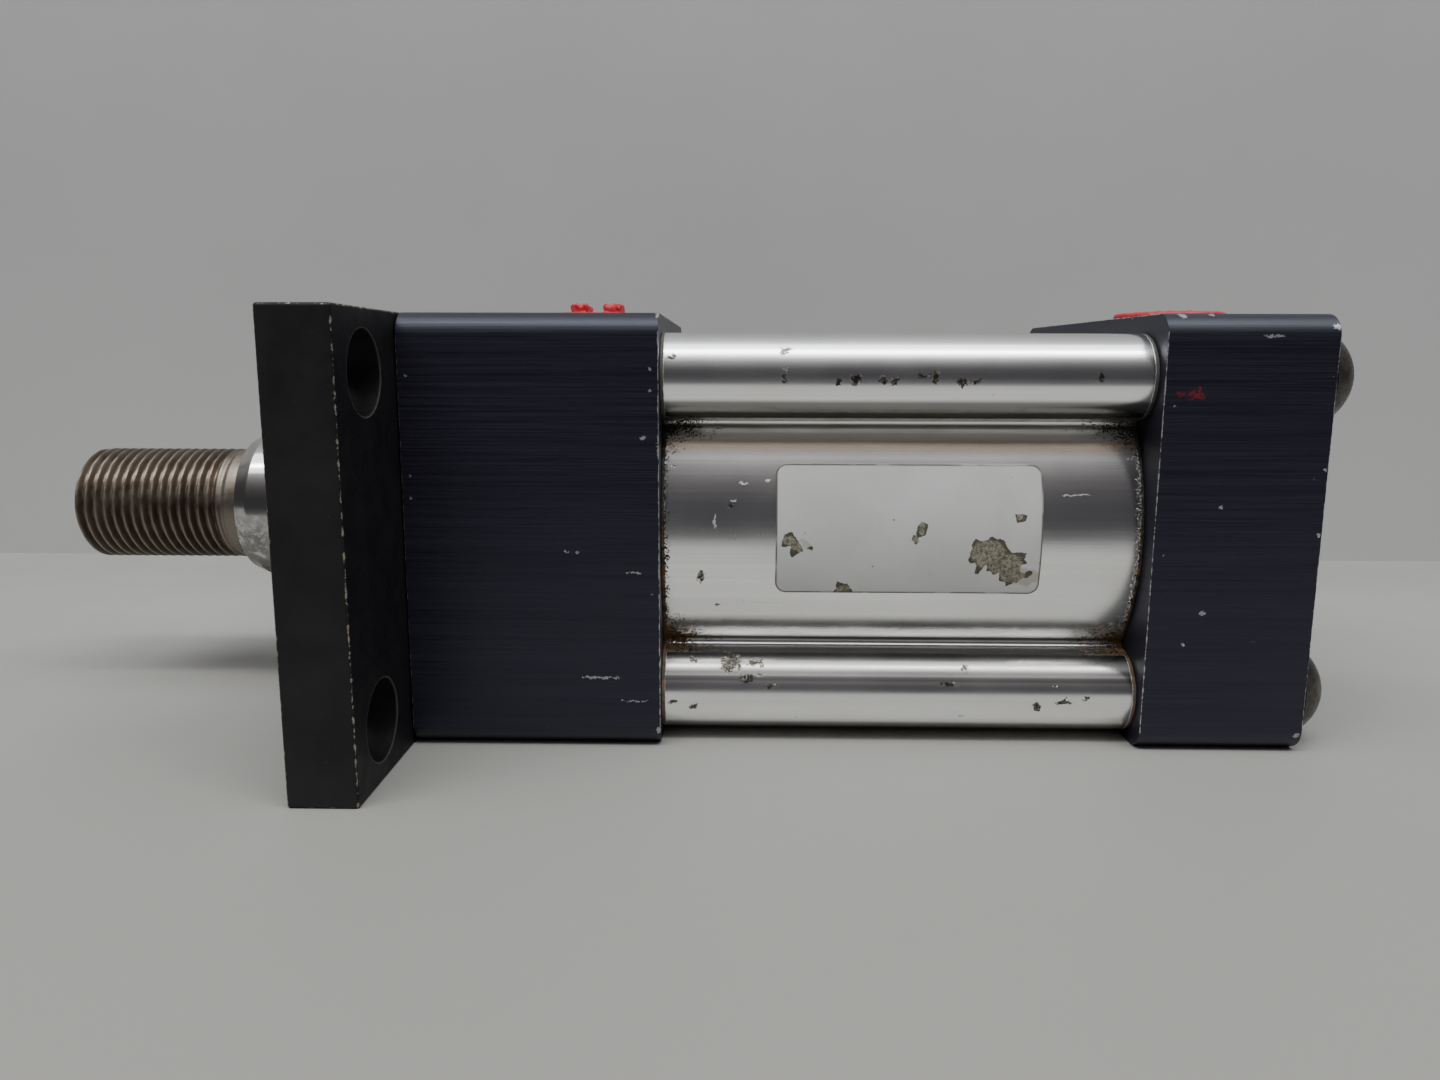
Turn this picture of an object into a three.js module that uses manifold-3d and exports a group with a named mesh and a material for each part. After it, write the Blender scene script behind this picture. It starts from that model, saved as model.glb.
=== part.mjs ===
// A double-acting pneumatic cylinder with a front mounting flange, in millimetres, +Z up.
// The rod runs along X and comes out towards -X. The origin of the exported group is the centre of
// the box around the whole cylinder, on the plane that the flange, head and cap stand on.
// Inside the group, x is measured from the head's front face and y and z from the rod's axis.
import * as THREE from 'three';
import { mergeVertices } from 'three/addons/utils/BufferGeometryUtils.js';
import Module from 'manifold-3d';

const wasm = await Module();
wasm.setup();

// ---- driving dimensions -----------------------------------------------------------------------
const INCH = 25.4;

const boreRadius = INCH;
const stroke = 1.5 * INCH;
const rodRadius = INCH / 2;

const endSize = 2.5 * INCH;
const endEdgeRadius = 3.4;
const headLength = 36.8;
const capLength = 23.6;
const bodyLength = 70.4;

const flangeThickness = 0.375 * INCH;
const flangeWidth = 4.125 * INCH;
const flangeHoleRadius = 0.4375 * INCH / 2;
const flangeHoleSpanY = 3.375 * INCH;
const flangeHoleSpanZ = 1.84 * INCH;

const tubeRadius = 1.125 * INCH;
const lobeOffset = 23.4;
const lobeRadius = 6.3;
const lobeFillet = 0.9;

const rodShoulderX = -35.3;
const rodThreadLength = 1.125 * INCH;
const rodThreadRadius = 0.75 * INCH / 2;
const threadPitch = INCH / 16;
const threadCrests = 15;

const portRadius = 8.25;
const portDepth = 15;
const frontPortX = 24.1;
const rearPortX = 121.2;

const screwShankRadius = 4.6;
const screwSpan = 2 * lobeOffset;
const domeRadius = 7.6;
const domeHeight = 5.1;

// ---- fits -------------------------------------------------------------------------------------
const gap = 0.2;
const seam = 0.45;
const rodClearance = 0.2;
const pistonClearance = 0.35;
const sealClearance = 0.15;
const spigotClearance = 0.3;
const threadEndChamfer = 0.8;
const pastSurface = 1; // how far a cutting tool runs on past the face that it cuts
const circleSegments = 32;
const ringSegments = 24;
const smallSegments = 18;
const cornerSegments = 4;

// ---- places worked out from the dimensions ------------------------------------------------------
const axisHeight = endSize / 2;
const capX = headLength + bodyLength;
const backX = capX + capLength;
const spigotLength = 6;
const spigotRadius = boreRadius - spigotClearance;
const endClearance = 0.5;
const innerSpace = bodyLength - 2 * spigotLength;
const pistonLength = innerSpace - stroke - 2 * endClearance;
const pistonRearX = capX - spigotLength - endClearance;
const pistonFrontX = pistonRearX - pistonLength;
const rodTipX = rodShoulderX - rodThreadLength;
const domeTopX = backX + gap + domeHeight;
const chamberX = 24;
const chamberRadius = rodRadius + 0.4; // the air flows along the rod through this ring-shaped gap

// ---- materials ----------------------------------------------------------------------------------
const finish = (color, roughness, metalness) => () =>
  new THREE.MeshStandardMaterial({ color, roughness, metalness });
const blackOxide = finish(0x26261f, 0.55, 0.6);
const blackAnodised = finish(0x14141c, 0.42, 0.5);
const clearAnodised = finish(0xb9bab4, 0.28, 0.9);
const chromed = finish(0xd0d0cc, 0.12, 1);
const bareSteel = finish(0x77736b, 0.4, 0.9);
const machinedAluminium = finish(0xb0b0a8, 0.42, 0.9);
const blackSteel = finish(0x22211e, 0.45, 0.7);
const bronze = finish(0xa9804a, 0.4, 0.8);
const sealRubber = finish(0x16150f, 0.7, 0);
const wearPlastic = finish(0xd8cfb6, 0.6, 0);
const redPlastic = finish(0xb52330, 0.5, 0);
const paleFoil = finish(0xd4d6d2, 0.45, 0.2);

// ---- solids -------------------------------------------------------------------------------------
const mergeTolerance = 1e-4;

/** A closed manifold solid from a three.js geometry, whichever way its faces are wound. */
function solid(geometry) {
  const bare = geometry.clone();
  bare.deleteAttribute('normal');
  bare.deleteAttribute('uv');
  const merged = mergeVertices(bare, mergeTolerance);
  const index = merged.index.array;
  const kept = [];
  let volume = 0;
  const a = new THREE.Vector3();
  const b = new THREE.Vector3();
  const c = new THREE.Vector3();
  for (let i = 0; i < index.length; i += 3) {
    const [p, q, r] = [index[i], index[i + 1], index[i + 2]];
    if (p === q || q === r || r === p) continue;
    kept.push(p, q, r);
    a.fromBufferAttribute(merged.attributes.position, p);
    b.fromBufferAttribute(merged.attributes.position, q);
    c.fromBufferAttribute(merged.attributes.position, r);
    volume += a.dot(b.cross(c));
  }
  if (volume < 0) kept.reverse();
  return new wasm.Manifold(new wasm.Mesh({
    numProp: 3,
    vertProperties: new Float32Array(merged.attributes.position.array),
    triVerts: new Uint32Array(kept),
  }));
}

/** A named mesh of one solid. */
function piece(name, shape, material) {
  const { vertProperties, triVerts } = shape.getMesh();
  const geometry = new THREE.BufferGeometry();
  geometry.setAttribute('position', new THREE.BufferAttribute(vertProperties, 3));
  geometry.setIndex(new THREE.BufferAttribute(triVerts, 1));
  geometry.computeVertexNormals();
  const mesh = new THREE.Mesh(geometry, material());
  mesh.name = name;
  return mesh;
}

/** A solid turned about the X axis from [x, radius] points, which close on themselves. */
function turned(points, segments = circleSegments) {
  const outline = points.map(([x, radius]) => new THREE.Vector2(radius, x));
  if (points[0][1] > 0) outline.push(outline[0].clone());
  return solid(new THREE.LatheGeometry(outline, segments).rotateZ(-Math.PI / 2));
}

/** A plain round bar along X between two places. */
function bar(fromX, toX, radius, segments = circleSegments) {
  return turned([[fromX, 0], [fromX, radius], [toX, radius], [toX, 0]], segments);
}

/** A washer-shaped ring along X. */
function ring(fromX, toX, innerRadius, outerRadius, segments = circleSegments) {
  const points = [[fromX, innerRadius], [fromX, outerRadius], [toX, outerRadius], [toX, innerRadius]];
  return turned(points, segments);
}

/** A shape drawn in y and z, extruded along X between two places. */
function alongX(shape, fromX, toX, curveSegments = cornerSegments) {
  const settings = { depth: toX - fromX, bevelEnabled: false, curveSegments };
  const extruded = new THREE.ExtrudeGeometry(shape, settings);
  const [x, y, z] = [new THREE.Vector3(1, 0, 0), new THREE.Vector3(0, 1, 0), new THREE.Vector3(0, 0, 1)];
  extruded.applyMatrix4(new THREE.Matrix4().makeBasis(y, z, x));
  return solid(extruded.translate(fromX, 0, 0));
}

/** An upright round bar with its axis at (x, 0). */
function post(x, lowZ, highZ, radius, segments = smallSegments) {
  const cylinder = new THREE.CylinderGeometry(radius, radius, highZ - lowZ, segments);
  cylinder.rotateX(Math.PI / 2);
  return solid(cylinder.translate(x, 0, (lowZ + highZ) / 2));
}

/** A rectangle with rounded corners, centred on the origin. */
function roundedRectangle(width, height, radius) {
  const [w, h] = [width / 2 - radius, height / 2 - radius];
  const shape = new THREE.Shape();
  shape.absarc(w, h, radius, 0, Math.PI / 2);
  shape.absarc(-w, h, radius, Math.PI / 2, Math.PI);
  shape.absarc(-w, -h, radius, Math.PI, 1.5 * Math.PI);
  shape.absarc(w, -h, radius, 1.5 * Math.PI, 2 * Math.PI);
  shape.closePath();
  return shape;
}

/** Points along an arc about a centre in y and z, from one angle up to, but without, another. */
function arc([y, z], radius, fromAngle, toAngle, steps) {
  return Array.from({ length: steps }, (_, i) => {
    const angle = fromAngle + (toAngle - fromAngle) * i / steps;
    return new THREE.Vector2(y + radius * Math.cos(angle), z + radius * Math.sin(angle));
  });
}

/** The four corners of a rectangle of holes, numbered round the axis. */
function corners(spanY, spanZ) {
  return [[1, 1], [-1, 1], [-1, -1], [1, -1]].map(([y, z]) => [y * spanY / 2, z * spanZ / 2]);
}

/** Cuts each of the others from the first solid. */
const cut = (first, ...others) => others.reduce((left, tool) => left.subtract(tool), first);

const screwPlaces = corners(screwSpan, screwSpan);
const shankHoles = (fromX, toX) =>
  screwPlaces.map(([y, z]) => bar(fromX, toX, screwShankRadius + gap, smallSegments).translate([0, y, z]));

// ---- front mounting flange ----------------------------------------------------------------------
const pilotRadius = 19.03;
const lowHeadRadius = 7.15;
const lowHeadHeight = 4.6;
const lowHeadChamfer = 0.4;
const lowHeadRecess = 0.3;
const counterboreRadius = lowHeadRadius + 1.5 * gap;
const counterboreDepth = lowHeadHeight + lowHeadRecess + gap;

function mountingFlange() {
  const plate = new THREE.Shape();
  const [w, h] = [flangeWidth / 2, endSize / 2];
  const frontX = -flangeThickness;
  plate.moveTo(-w, -h).lineTo(w, -h).lineTo(w, h).lineTo(-w, h).closePath();
  const holes = corners(flangeHoleSpanY, flangeHoleSpanZ).map(([y, z]) =>
    bar(frontX - pastSurface, pastSurface, flangeHoleRadius, smallSegments).translate([0, y, z]));
  const counterbores = screwPlaces.map(([y, z]) =>
    bar(frontX - pastSurface, frontX + counterboreDepth, counterboreRadius, smallSegments)
      .translate([0, y, z]));
  return cut(
    alongX(plate, frontX, -gap),
    bar(frontX - pastSurface, pastSurface, pilotRadius + gap),
    ...holes, ...shankHoles(frontX, pastSurface), ...counterbores,
  );
}

// ---- head and cap -------------------------------------------------------------------------------
const collarRadius = 23;
const collarLength = 6.3;
const gland = { radius: 16.9, endX: chamberX - gap };
const tubeRing = { width: 3.2, depth: 2.2, inset: 1.4 };
const portMouthRadius = 9.1;
const portMouthDepth = 1;
const airwayRadius = 4;
const rearAirwayRadius = 5;
const recessRadius = 16.5;
const recessEndX = 113;

/** The port from the top face down, with the airway that leads on to the bore. */
function port(x, airwayX, airwayLowZ) {
  const top = endSize / 2;
  return post(x, top - portDepth, top + pastSurface, portRadius, ringSegments)
    .add(post(x, top - portMouthDepth, top + 2 * pastSurface, portMouthRadius, ringSegments))
    .add(post(airwayX, airwayLowZ, top - portDepth + pastSurface, airwayRadius));
}

/** The groove for the sealing ring on a spigot, from fromX to toX. */
const spigotGroove = (fromX, toX) =>
  ring(fromX, toX, spigotRadius - tubeRing.depth, spigotRadius + pastSurface);

function frontHead() {
  const block = alongX(roundedRectangle(endSize, endSize, endEdgeRadius), 0, headLength);
  const spigotEnd = headLength + spigotLength;
  const grooveX = headLength + tubeRing.inset;
  return cut(
    block.add(bar(headLength - pastSurface, spigotEnd, spigotRadius)),
    bar(-pastSurface, collarLength + 2 * gap, collarRadius + gap),
    bar(0, chamberX, gland.radius + gap),
    bar(chamberX - pastSurface, spigotEnd + pastSurface, chamberRadius),
    port(frontPortX, chamberX + airwayRadius, rodRadius),
    spigotGroove(grooveX, grooveX + tubeRing.width),
    ...shankHoles(-pastSurface, headLength + pastSurface),
  );
}

function rearCap() {
  const block = alongX(roundedRectangle(endSize, endSize, endEdgeRadius), capX, backX);
  const spigotEnd = capX - spigotLength;
  const grooveX = capX - tubeRing.inset - tubeRing.width;
  return cut(
    block.add(bar(spigotEnd, capX + pastSurface, spigotRadius)),
    bar(spigotEnd - pastSurface, recessEndX, recessRadius),
    port(rearPortX, rearPortX - airwayRadius, 0),
    bar(recessEndX - pastSurface, rearPortX - airwayRadius, rearAirwayRadius, smallSegments),
    spigotGroove(grooveX, grooveX + tubeRing.width),
    ...shankHoles(capX - pastSurface, backX + pastSurface),
  );
}

// ---- body extrusion: a round tube with a screw sleeve at each corner ----------------------------
const boreSegments = 60;
const lobeSteps = 14;
const filletSteps = 3;
const tubeSteps = 8;

function bodyOutline() {
  const reach = lobeOffset * Math.SQRT2;
  const toFillet = tubeRadius + lobeFillet;
  const lobeToFillet = lobeRadius + lobeFillet;
  const spread = Math.acos((toFillet ** 2 + reach ** 2 - lobeToFillet ** 2) / (2 * toFillet * reach));
  const turn = Math.atan2(toFillet * Math.sin(spread), reach - toFillet * Math.cos(spread));
  const at = (distance, angle) => [distance * Math.cos(angle), distance * Math.sin(angle)];
  const points = [];
  for (let corner = 0; corner < 4; corner += 1) {
    const middle = Math.PI / 4 + corner * Math.PI / 2;
    const [before, after] = [middle - spread, middle + spread];
    points.push(
      ...arc(at(toFillet, before), lobeFillet, before + Math.PI, middle + turn, filletSteps),
      ...arc(at(reach, middle), lobeRadius, middle + turn - Math.PI, middle - turn + Math.PI, lobeSteps),
      ...arc(at(toFillet, after), lobeFillet, middle - turn, after - Math.PI, filletSteps),
      ...arc([0, 0], tubeRadius, after, before + Math.PI / 2, tubeSteps),
    );
  }
  return new THREE.Shape(points);
}

function bodyExtrusion() {
  const [fromX, toX] = [headLength + seam, capX - seam];
  return cut(
    alongX(bodyOutline(), fromX, toX),
    bar(fromX - pastSurface, toX + pastSurface, boreRadius, boreSegments),
    ...shankHoles(fromX - pastSurface, toX + pastSurface),
  );
}

// ---- screws -------------------------------------------------------------------------------------
const socketRadius = 0.21875 * INCH / Math.sqrt(3);
const socketDepth = 3;
const screwGrip = 16;
const domeSegments = 20;
const domeSteps = 4;
const domeFlatRadius = 3.4;

/** The hexagonal socket in a head whose top is at x = 0, facing towards the sign given. */
function hexSocket(sign) {
  const prism = new THREE.CylinderGeometry(socketRadius, socketRadius, 2 * socketDepth, 6);
  return solid(prism.rotateZ(sign * Math.PI / 2));
}

/** A dome-headed screw that goes in from the back. x = 0 is the underside of its head. */
function domeScrew() {
  const centreX = (domeFlatRadius ** 2 + domeHeight ** 2 - domeRadius ** 2) / (2 * domeHeight);
  const sphere = Math.hypot(domeRadius, centreX);
  const [rimAngle, flatAngle] = [domeRadius, domeFlatRadius].map((radius) => Math.asin(radius / sphere));
  const dome = Array.from({ length: domeSteps + 1 }, (_, i) => {
    const angle = rimAngle + (flatAngle - rimAngle) * i / domeSteps;
    return [centreX + sphere * Math.cos(angle), sphere * Math.sin(angle)];
  });
  const shankEnd = -capLength - seam - screwGrip;
  const profile = [
    [shankEnd, 0], [shankEnd, screwShankRadius - threadEndChamfer],
    [shankEnd + threadEndChamfer, screwShankRadius],
    [0, screwShankRadius], ...dome, [domeHeight, 0],
  ];
  return cut(turned(profile, domeSegments), hexSocket(1).translate([domeHeight, 0, 0]));
}

/** A low-head socket screw that goes in from the front. x = 0 is the underside of its head. */
function lowHeadScrew() {
  const shankEnd = flangeThickness - counterboreDepth + headLength + seam + screwGrip;
  const profile = [
    [-lowHeadHeight, 0], [-lowHeadHeight, lowHeadRadius - lowHeadChamfer],
    [lowHeadChamfer - lowHeadHeight, lowHeadRadius],
    [0, lowHeadRadius], [0, screwShankRadius], [shankEnd - threadEndChamfer, screwShankRadius],
    [shankEnd, screwShankRadius - threadEndChamfer], [shankEnd, 0],
  ];
  return cut(turned(profile, smallSegments), hexSocket(1).translate([-lowHeadHeight, 0, 0]));
}

// ---- rod bushing and its seals ------------------------------------------------------------------
const pilotFrontX = -flangeThickness - 0.125 * INCH;
const pilotChamfer = 0.6;
const wiper = {
  depth: 4, radius: 16.6, face: 0.3, edge: 0.6, lip: 1.1, lipRoot: 1.4, lipThickness: 0.5,
};
const rodSeal = { fromX: 0.9, width: 5, radius: 17.2 };
const glandRing = { fromX: 12, width: 3.2, depth: 2.2 };
const bushingBore = rodRadius + rodClearance;

function rodBushing() {
  return turned([
    [pilotFrontX + wiper.depth, bushingBore], [pilotFrontX + wiper.depth, wiper.radius],
    [pilotFrontX, wiper.radius], [pilotFrontX, pilotRadius - pilotChamfer],
    [pilotFrontX + pilotChamfer, pilotRadius],
    [gap, pilotRadius], [gap, collarRadius], [gap + collarLength, collarRadius],
    [gap + collarLength, gland.radius], [glandRing.fromX, gland.radius],
    [glandRing.fromX, gland.radius - glandRing.depth],
    [glandRing.fromX + glandRing.width, gland.radius - glandRing.depth],
    [glandRing.fromX + glandRing.width, gland.radius], [gland.endX - threadEndChamfer, gland.radius],
    [gland.endX, gland.radius - threadEndChamfer], [gland.endX, bushingBore],
    [rodSeal.fromX + rodSeal.width, bushingBore], [rodSeal.fromX + rodSeal.width, rodSeal.radius],
    [rodSeal.fromX, rodSeal.radius], [rodSeal.fromX, bushingBore],
  ]);
}

/** The wiper at the bushing's mouth, whose lip leans forward on to the rod. */
function rodWiper() {
  const back = pilotFrontX + wiper.depth - gap;
  const inner = rodRadius + gap;
  return turned([
    [back, inner], [back, wiper.radius - gap], [pilotFrontX + wiper.face, wiper.radius - gap],
    [pilotFrontX, wiper.radius - gap - wiper.edge], [pilotFrontX, inner + wiper.lipRoot],
    [pilotFrontX - wiper.lip, inner + wiper.lipThickness], [pilotFrontX - wiper.lip, inner],
  ], ringSegments);
}

/** A U-shaped seal that fills a groove, its open side towards the sign given. */
function cupSeal(fromX, toX, innerRadius, outerRadius, sign, segments = circleSegments) {
  const [open, closed] = sign > 0 ? [toX, fromX] : [fromX, toX];
  const third = (outerRadius - innerRadius) / 3;
  return turned([
    [closed, innerRadius], [closed, outerRadius], [open, outerRadius], [open, outerRadius - third / 2],
    [(fromX + toX) / 2, (innerRadius + outerRadius) / 2],
    [open, innerRadius + third / 2], [open, innerRadius],
  ], segments);
}

/** A sealing ring of round section between two radii, centred on x. */
function oRing(x, innerRadius, outerRadius) {
  const section = (outerRadius - innerRadius) / 2;
  const sides = 6;
  const points = Array.from({ length: sides }, (_, i) => {
    const angle = 2 * Math.PI * i / sides;
    return [x + section * Math.sin(angle), innerRadius + section + section * Math.cos(angle)];
  });
  return turned(points, ringSegments);
}

// ---- rod, piston and what turns or slides with them ---------------------------------------------
const rodSpigotRadius = 9.4;
const nutThreadRadius = 7.9;
const nut = { acrossFlats: 26, thickness: 8.5 };
const nutX = pistonRearX + gap;
const rodEndX = nutX + nut.thickness + threadPitch;
const shoulderChamfer = { length: 2.5, depth: 1.1 };
const threadDepth = 0.61 * threadPitch;
const threadStartX = rodTipX + 0.6 * threadPitch;

/** The male thread as a row of ridges, which runs on into the plain relief at the shoulder. */
function rodThread() {
  const rootRadius = rodThreadRadius - threadDepth;
  const ridges = Array.from({ length: threadCrests }, (_, i) => threadStartX + i * threadPitch);
  const profile = ridges.flatMap((x) => [[x, rodThreadRadius], [x + threadPitch / 2, rootRadius]]);
  const lastX = threadStartX + threadCrests * threadPitch;
  return turned([
    [rodTipX, 0], [rodTipX, rootRadius], ...profile, [lastX, rodThreadRadius],
    [rodShoulderX + pastSurface, rodThreadRadius], [rodShoulderX + pastSurface, 0],
  ], ringSegments);
}

function pistonRod() {
  const shaft = turned([
    [rodShoulderX, 0], [rodShoulderX, rodRadius - shoulderChamfer.depth],
    [rodShoulderX + shoulderChamfer.length, rodRadius], [pistonFrontX - gap, rodRadius],
    [pistonFrontX - gap, rodSpigotRadius], [pistonRearX, rodSpigotRadius],
    [pistonRearX, nutThreadRadius], [rodEndX - threadEndChamfer, nutThreadRadius],
    [rodEndX, nutThreadRadius - threadEndChamfer], [rodEndX, 0],
  ]);
  return shaft.add(rodThread());
}

const pistonRadius = boreRadius - pistonClearance;
const pistonSealGroove = { width: 4.2, depth: 3.6, inset: 1.6 };
const wearGroove = { width: 5.2, depth: 1.4 };
const pistonRingGroove = { width: 2.8, depth: 2 };
const pistonMiddleX = (pistonFrontX + pistonRearX) / 2;

/** The three grooves round the piston, as [fromX, toX, floor radius]. */
const pistonGrooves = [
  [pistonFrontX + pistonSealGroove.inset, pistonSealGroove.width, pistonSealGroove.depth],
  [pistonMiddleX - wearGroove.width / 2, wearGroove.width, wearGroove.depth],
  [pistonRearX - pistonSealGroove.inset - pistonSealGroove.width, pistonSealGroove.width,
    pistonSealGroove.depth],
].map(([fromX, width, depth]) => [fromX, fromX + width, pistonRadius - depth]);

function piston() {
  const inside = rodSpigotRadius + gap;
  const innerGroove = ring(
    pistonMiddleX - pistonRingGroove.width / 2, pistonMiddleX + pistonRingGroove.width / 2,
    inside - pastSurface, inside + pistonRingGroove.depth,
  );
  return cut(
    ring(pistonFrontX, pistonRearX, inside, pistonRadius),
    ...pistonGrooves.map(([fromX, toX, floor]) => ring(fromX, toX, floor, pistonRadius + pastSurface)),
    innerGroove,
  );
}

/** A ring that fills one of the piston's grooves and reaches out to the tube. */
const inPistonGroove = ([fromX, toX, floor]) =>
  [fromX + gap, toX - gap, floor + gap, boreRadius - sealClearance];

function pistonNut() {
  const body = new THREE.CylinderGeometry(
    nut.acrossFlats / Math.sqrt(3), nut.acrossFlats / Math.sqrt(3), nut.thickness, 6,
  );
  const blank = solid(body.rotateZ(Math.PI / 2)).translate([nutX + nut.thickness / 2, 0, 0]);
  const threadedHole = bar(nutX - pastSurface, nutX + nut.thickness + pastSurface, nutThreadRadius + gap);
  return cut(blank, threadedHole);
}

// ---- port plugs and rating plate ----------------------------------------------------------------
const plug = {
  rimRadius: 8.8, rimHeight: 1.7, rimEdge: 0.4, stemLength: 7.2, stemTaper: 0.4, wall: 1.3,
  bossRadius: 4.3, bossRoot: 0.5, slot: 2.9,
};

/** A push-in plug, hollow from below, with a slotted boss on its rim. z = 0 is the port's face. */
function portPlug(bossHeight, slotAngle) {
  const rimLow = gap - portMouthDepth;
  const stemRadius = portRadius - gap;
  const tipRadius = stemRadius - plug.stemTaper;
  const outline = [
    [0, rimLow], [tipRadius - plug.wall, rimLow], [tipRadius - plug.wall, -plug.stemLength],
    [tipRadius, -plug.stemLength], [stemRadius, rimLow], [plug.rimRadius, rimLow],
    [plug.rimRadius, plug.rimHeight - plug.rimEdge], [plug.rimRadius - plug.rimEdge, plug.rimHeight],
    [0, plug.rimHeight],
  ].map(([radius, z]) => new THREE.Vector2(radius, z));
  const cup = solid(new THREE.LatheGeometry(outline, ringSegments).rotateX(Math.PI / 2));
  const top = plug.rimHeight + bossHeight;
  const boss = post(0, plug.rimHeight - plug.bossRoot, top, plug.bossRadius);
  const slotBox = new THREE.BoxGeometry(plug.slot, 3 * plug.bossRadius, 2 * bossHeight);
  slotBox.rotateZ(slotAngle);
  return cup.add(cut(boss, solid(slotBox.translate(0, 0, top))));
}

const labelSegments = 80;
const plate = { length: 38.8, height: 19.1, cornerRadius: 1.6, thickness: 0.3, fromX: 53.65, rise: 0.6 };

/** A thin plate with round corners that follows the tube on its -Y side. */
function ratingPlate() {
  const inner = tubeRadius + gap;
  const [fromX, toX] = [plate.fromX - pastSurface, plate.fromX + plate.length + pastSurface];
  const sleeve = turned([
    [fromX, inner], [fromX, inner + plate.thickness], [toX, inner + plate.thickness], [toX, inner],
  ], labelSegments);
  const window = new THREE.ExtrudeGeometry(
    roundedRectangle(plate.length, plate.height, plate.cornerRadius),
    { depth: tubeRadius, bevelEnabled: false, curveSegments: cornerSegments },
  );
  window.rotateX(Math.PI / 2);
  window.translate(plate.fromX + plate.length / 2, -plate.height / 2, plate.rise);
  return sleeve.intersect(solid(window));
}

// ---- assembly -----------------------------------------------------------------------------------
const cylinder = new THREE.Group();
cylinder.position.set(-(rodTipX + domeTopX) / 2, 0, axisHeight);
const add = (name, shape, material, at = [0, 0, 0]) => {
  const mesh = piece(name, shape, material);
  mesh.position.set(...at);
  cylinder.add(mesh);
};

add('mounting_flange', mountingFlange(), blackOxide);
add('front_head', frontHead(), blackAnodised);
add('rear_cap', rearCap(), blackAnodised);
add('body_extrusion', bodyExtrusion(), clearAnodised);
screwPlaces.forEach(([y, z], i) => {
  add(`front_screw_${i + 1}`, lowHeadScrew(), blackSteel, [counterboreDepth - flangeThickness - gap, y, z]);
  add(`rear_screw_${i + 1}`, domeScrew(), blackSteel, [backX + gap, y, z]);
});

add('rod_bushing', rodBushing(), bronze);
add('rod_wiper', rodWiper(), sealRubber);
add('rod_seal', cupSeal(
  rodSeal.fromX + gap, rodSeal.fromX + rodSeal.width - gap, rodRadius + gap, rodSeal.radius - gap, 1,
  ringSegments,
), sealRubber);
add('bushing_o_ring', oRing(
  glandRing.fromX + glandRing.width / 2, gland.radius - glandRing.depth + gap, gland.radius + gap / 2,
), sealRubber);
const tubeRingRadii = [spigotRadius - tubeRing.depth + 2 * gap, boreRadius - sealClearance];
const frontRingX = headLength + tubeRing.inset + tubeRing.width / 2;
const rearRingX = capX - tubeRing.inset - tubeRing.width / 2;
add('front_tube_o_ring', oRing(frontRingX, ...tubeRingRadii), sealRubber);
add('rear_tube_o_ring', oRing(rearRingX, ...tubeRingRadii), sealRubber);

add('piston_rod', pistonRod(), chromed);
add('piston', piston(), machinedAluminium);
add('piston_nut', pistonNut(), bareSteel);
add('piston_o_ring', oRing(
  pistonMiddleX, rodSpigotRadius + gap / 2, rodSpigotRadius + pistonRingGroove.depth,
), sealRubber);
add('piston_seal_front', cupSeal(...inPistonGroove(pistonGrooves[0]), -1), sealRubber);
add('piston_wear_ring', ring(...inPistonGroove(pistonGrooves[1])), wearPlastic);
add('piston_seal_rear', cupSeal(...inPistonGroove(pistonGrooves[2]), 1), sealRubber);

const faceHeight = endSize / 2;
add('port_plug_front', portPlug(1, 0), redPlastic, [frontPortX, 0, faceHeight]);
add('port_plug_rear', portPlug(0.3, Math.PI / 3), redPlastic, [rearPortX, 0, faceHeight]);
add('rating_plate', ratingPlate(), paleFoil);

export default cylinder;
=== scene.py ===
"""The looks of a pneumatic cylinder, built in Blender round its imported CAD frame."""
import math
from functools import partial, reduce
from random import Random

import bmesh
import bpy
from mathutils import Matrix, Vector, noise


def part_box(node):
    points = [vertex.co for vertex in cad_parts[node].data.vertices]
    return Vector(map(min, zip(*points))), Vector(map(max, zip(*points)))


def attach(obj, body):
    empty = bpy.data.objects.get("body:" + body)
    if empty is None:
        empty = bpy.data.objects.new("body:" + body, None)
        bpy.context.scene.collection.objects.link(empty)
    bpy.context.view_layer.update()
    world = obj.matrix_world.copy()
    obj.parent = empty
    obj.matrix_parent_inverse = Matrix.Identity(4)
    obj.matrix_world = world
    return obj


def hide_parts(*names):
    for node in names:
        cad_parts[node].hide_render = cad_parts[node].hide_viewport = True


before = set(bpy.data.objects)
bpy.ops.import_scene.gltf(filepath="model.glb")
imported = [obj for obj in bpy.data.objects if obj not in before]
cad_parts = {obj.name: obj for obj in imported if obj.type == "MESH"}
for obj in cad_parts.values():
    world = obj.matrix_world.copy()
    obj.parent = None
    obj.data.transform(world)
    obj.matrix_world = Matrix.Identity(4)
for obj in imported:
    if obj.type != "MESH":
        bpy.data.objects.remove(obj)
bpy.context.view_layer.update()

# ---- places, in millimetres, taken from the frame ----
MM = 0.001
SEAM = 0.45  # between the extrusion and an end block in the CAD
GAP = 0.2  # between pieces that fit into one another
PAST = 1.0  # how far a cutting shape runs on past the face that it cuts


def span(node):
    """A CAD node's lowest and highest corners, in millimetres."""
    return [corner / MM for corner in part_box(node)]


flange_low, flange_high = span("mounting_flange")
head_low, head_high = span("front_head")
body_low, body_high = span("body_extrusion")
cap_low, cap_high = span("rear_cap")
rod_low, rod_high = span("piston_rod")
piston_low, piston_high = span("piston")
bushing_low, bushing_high = span("rod_bushing")
front_plug_low, front_plug_high = span("port_plug_front")
rear_plug_low, rear_plug_high = span("port_plug_rear")
plate_low, plate_high = span("rating_plate")

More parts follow.
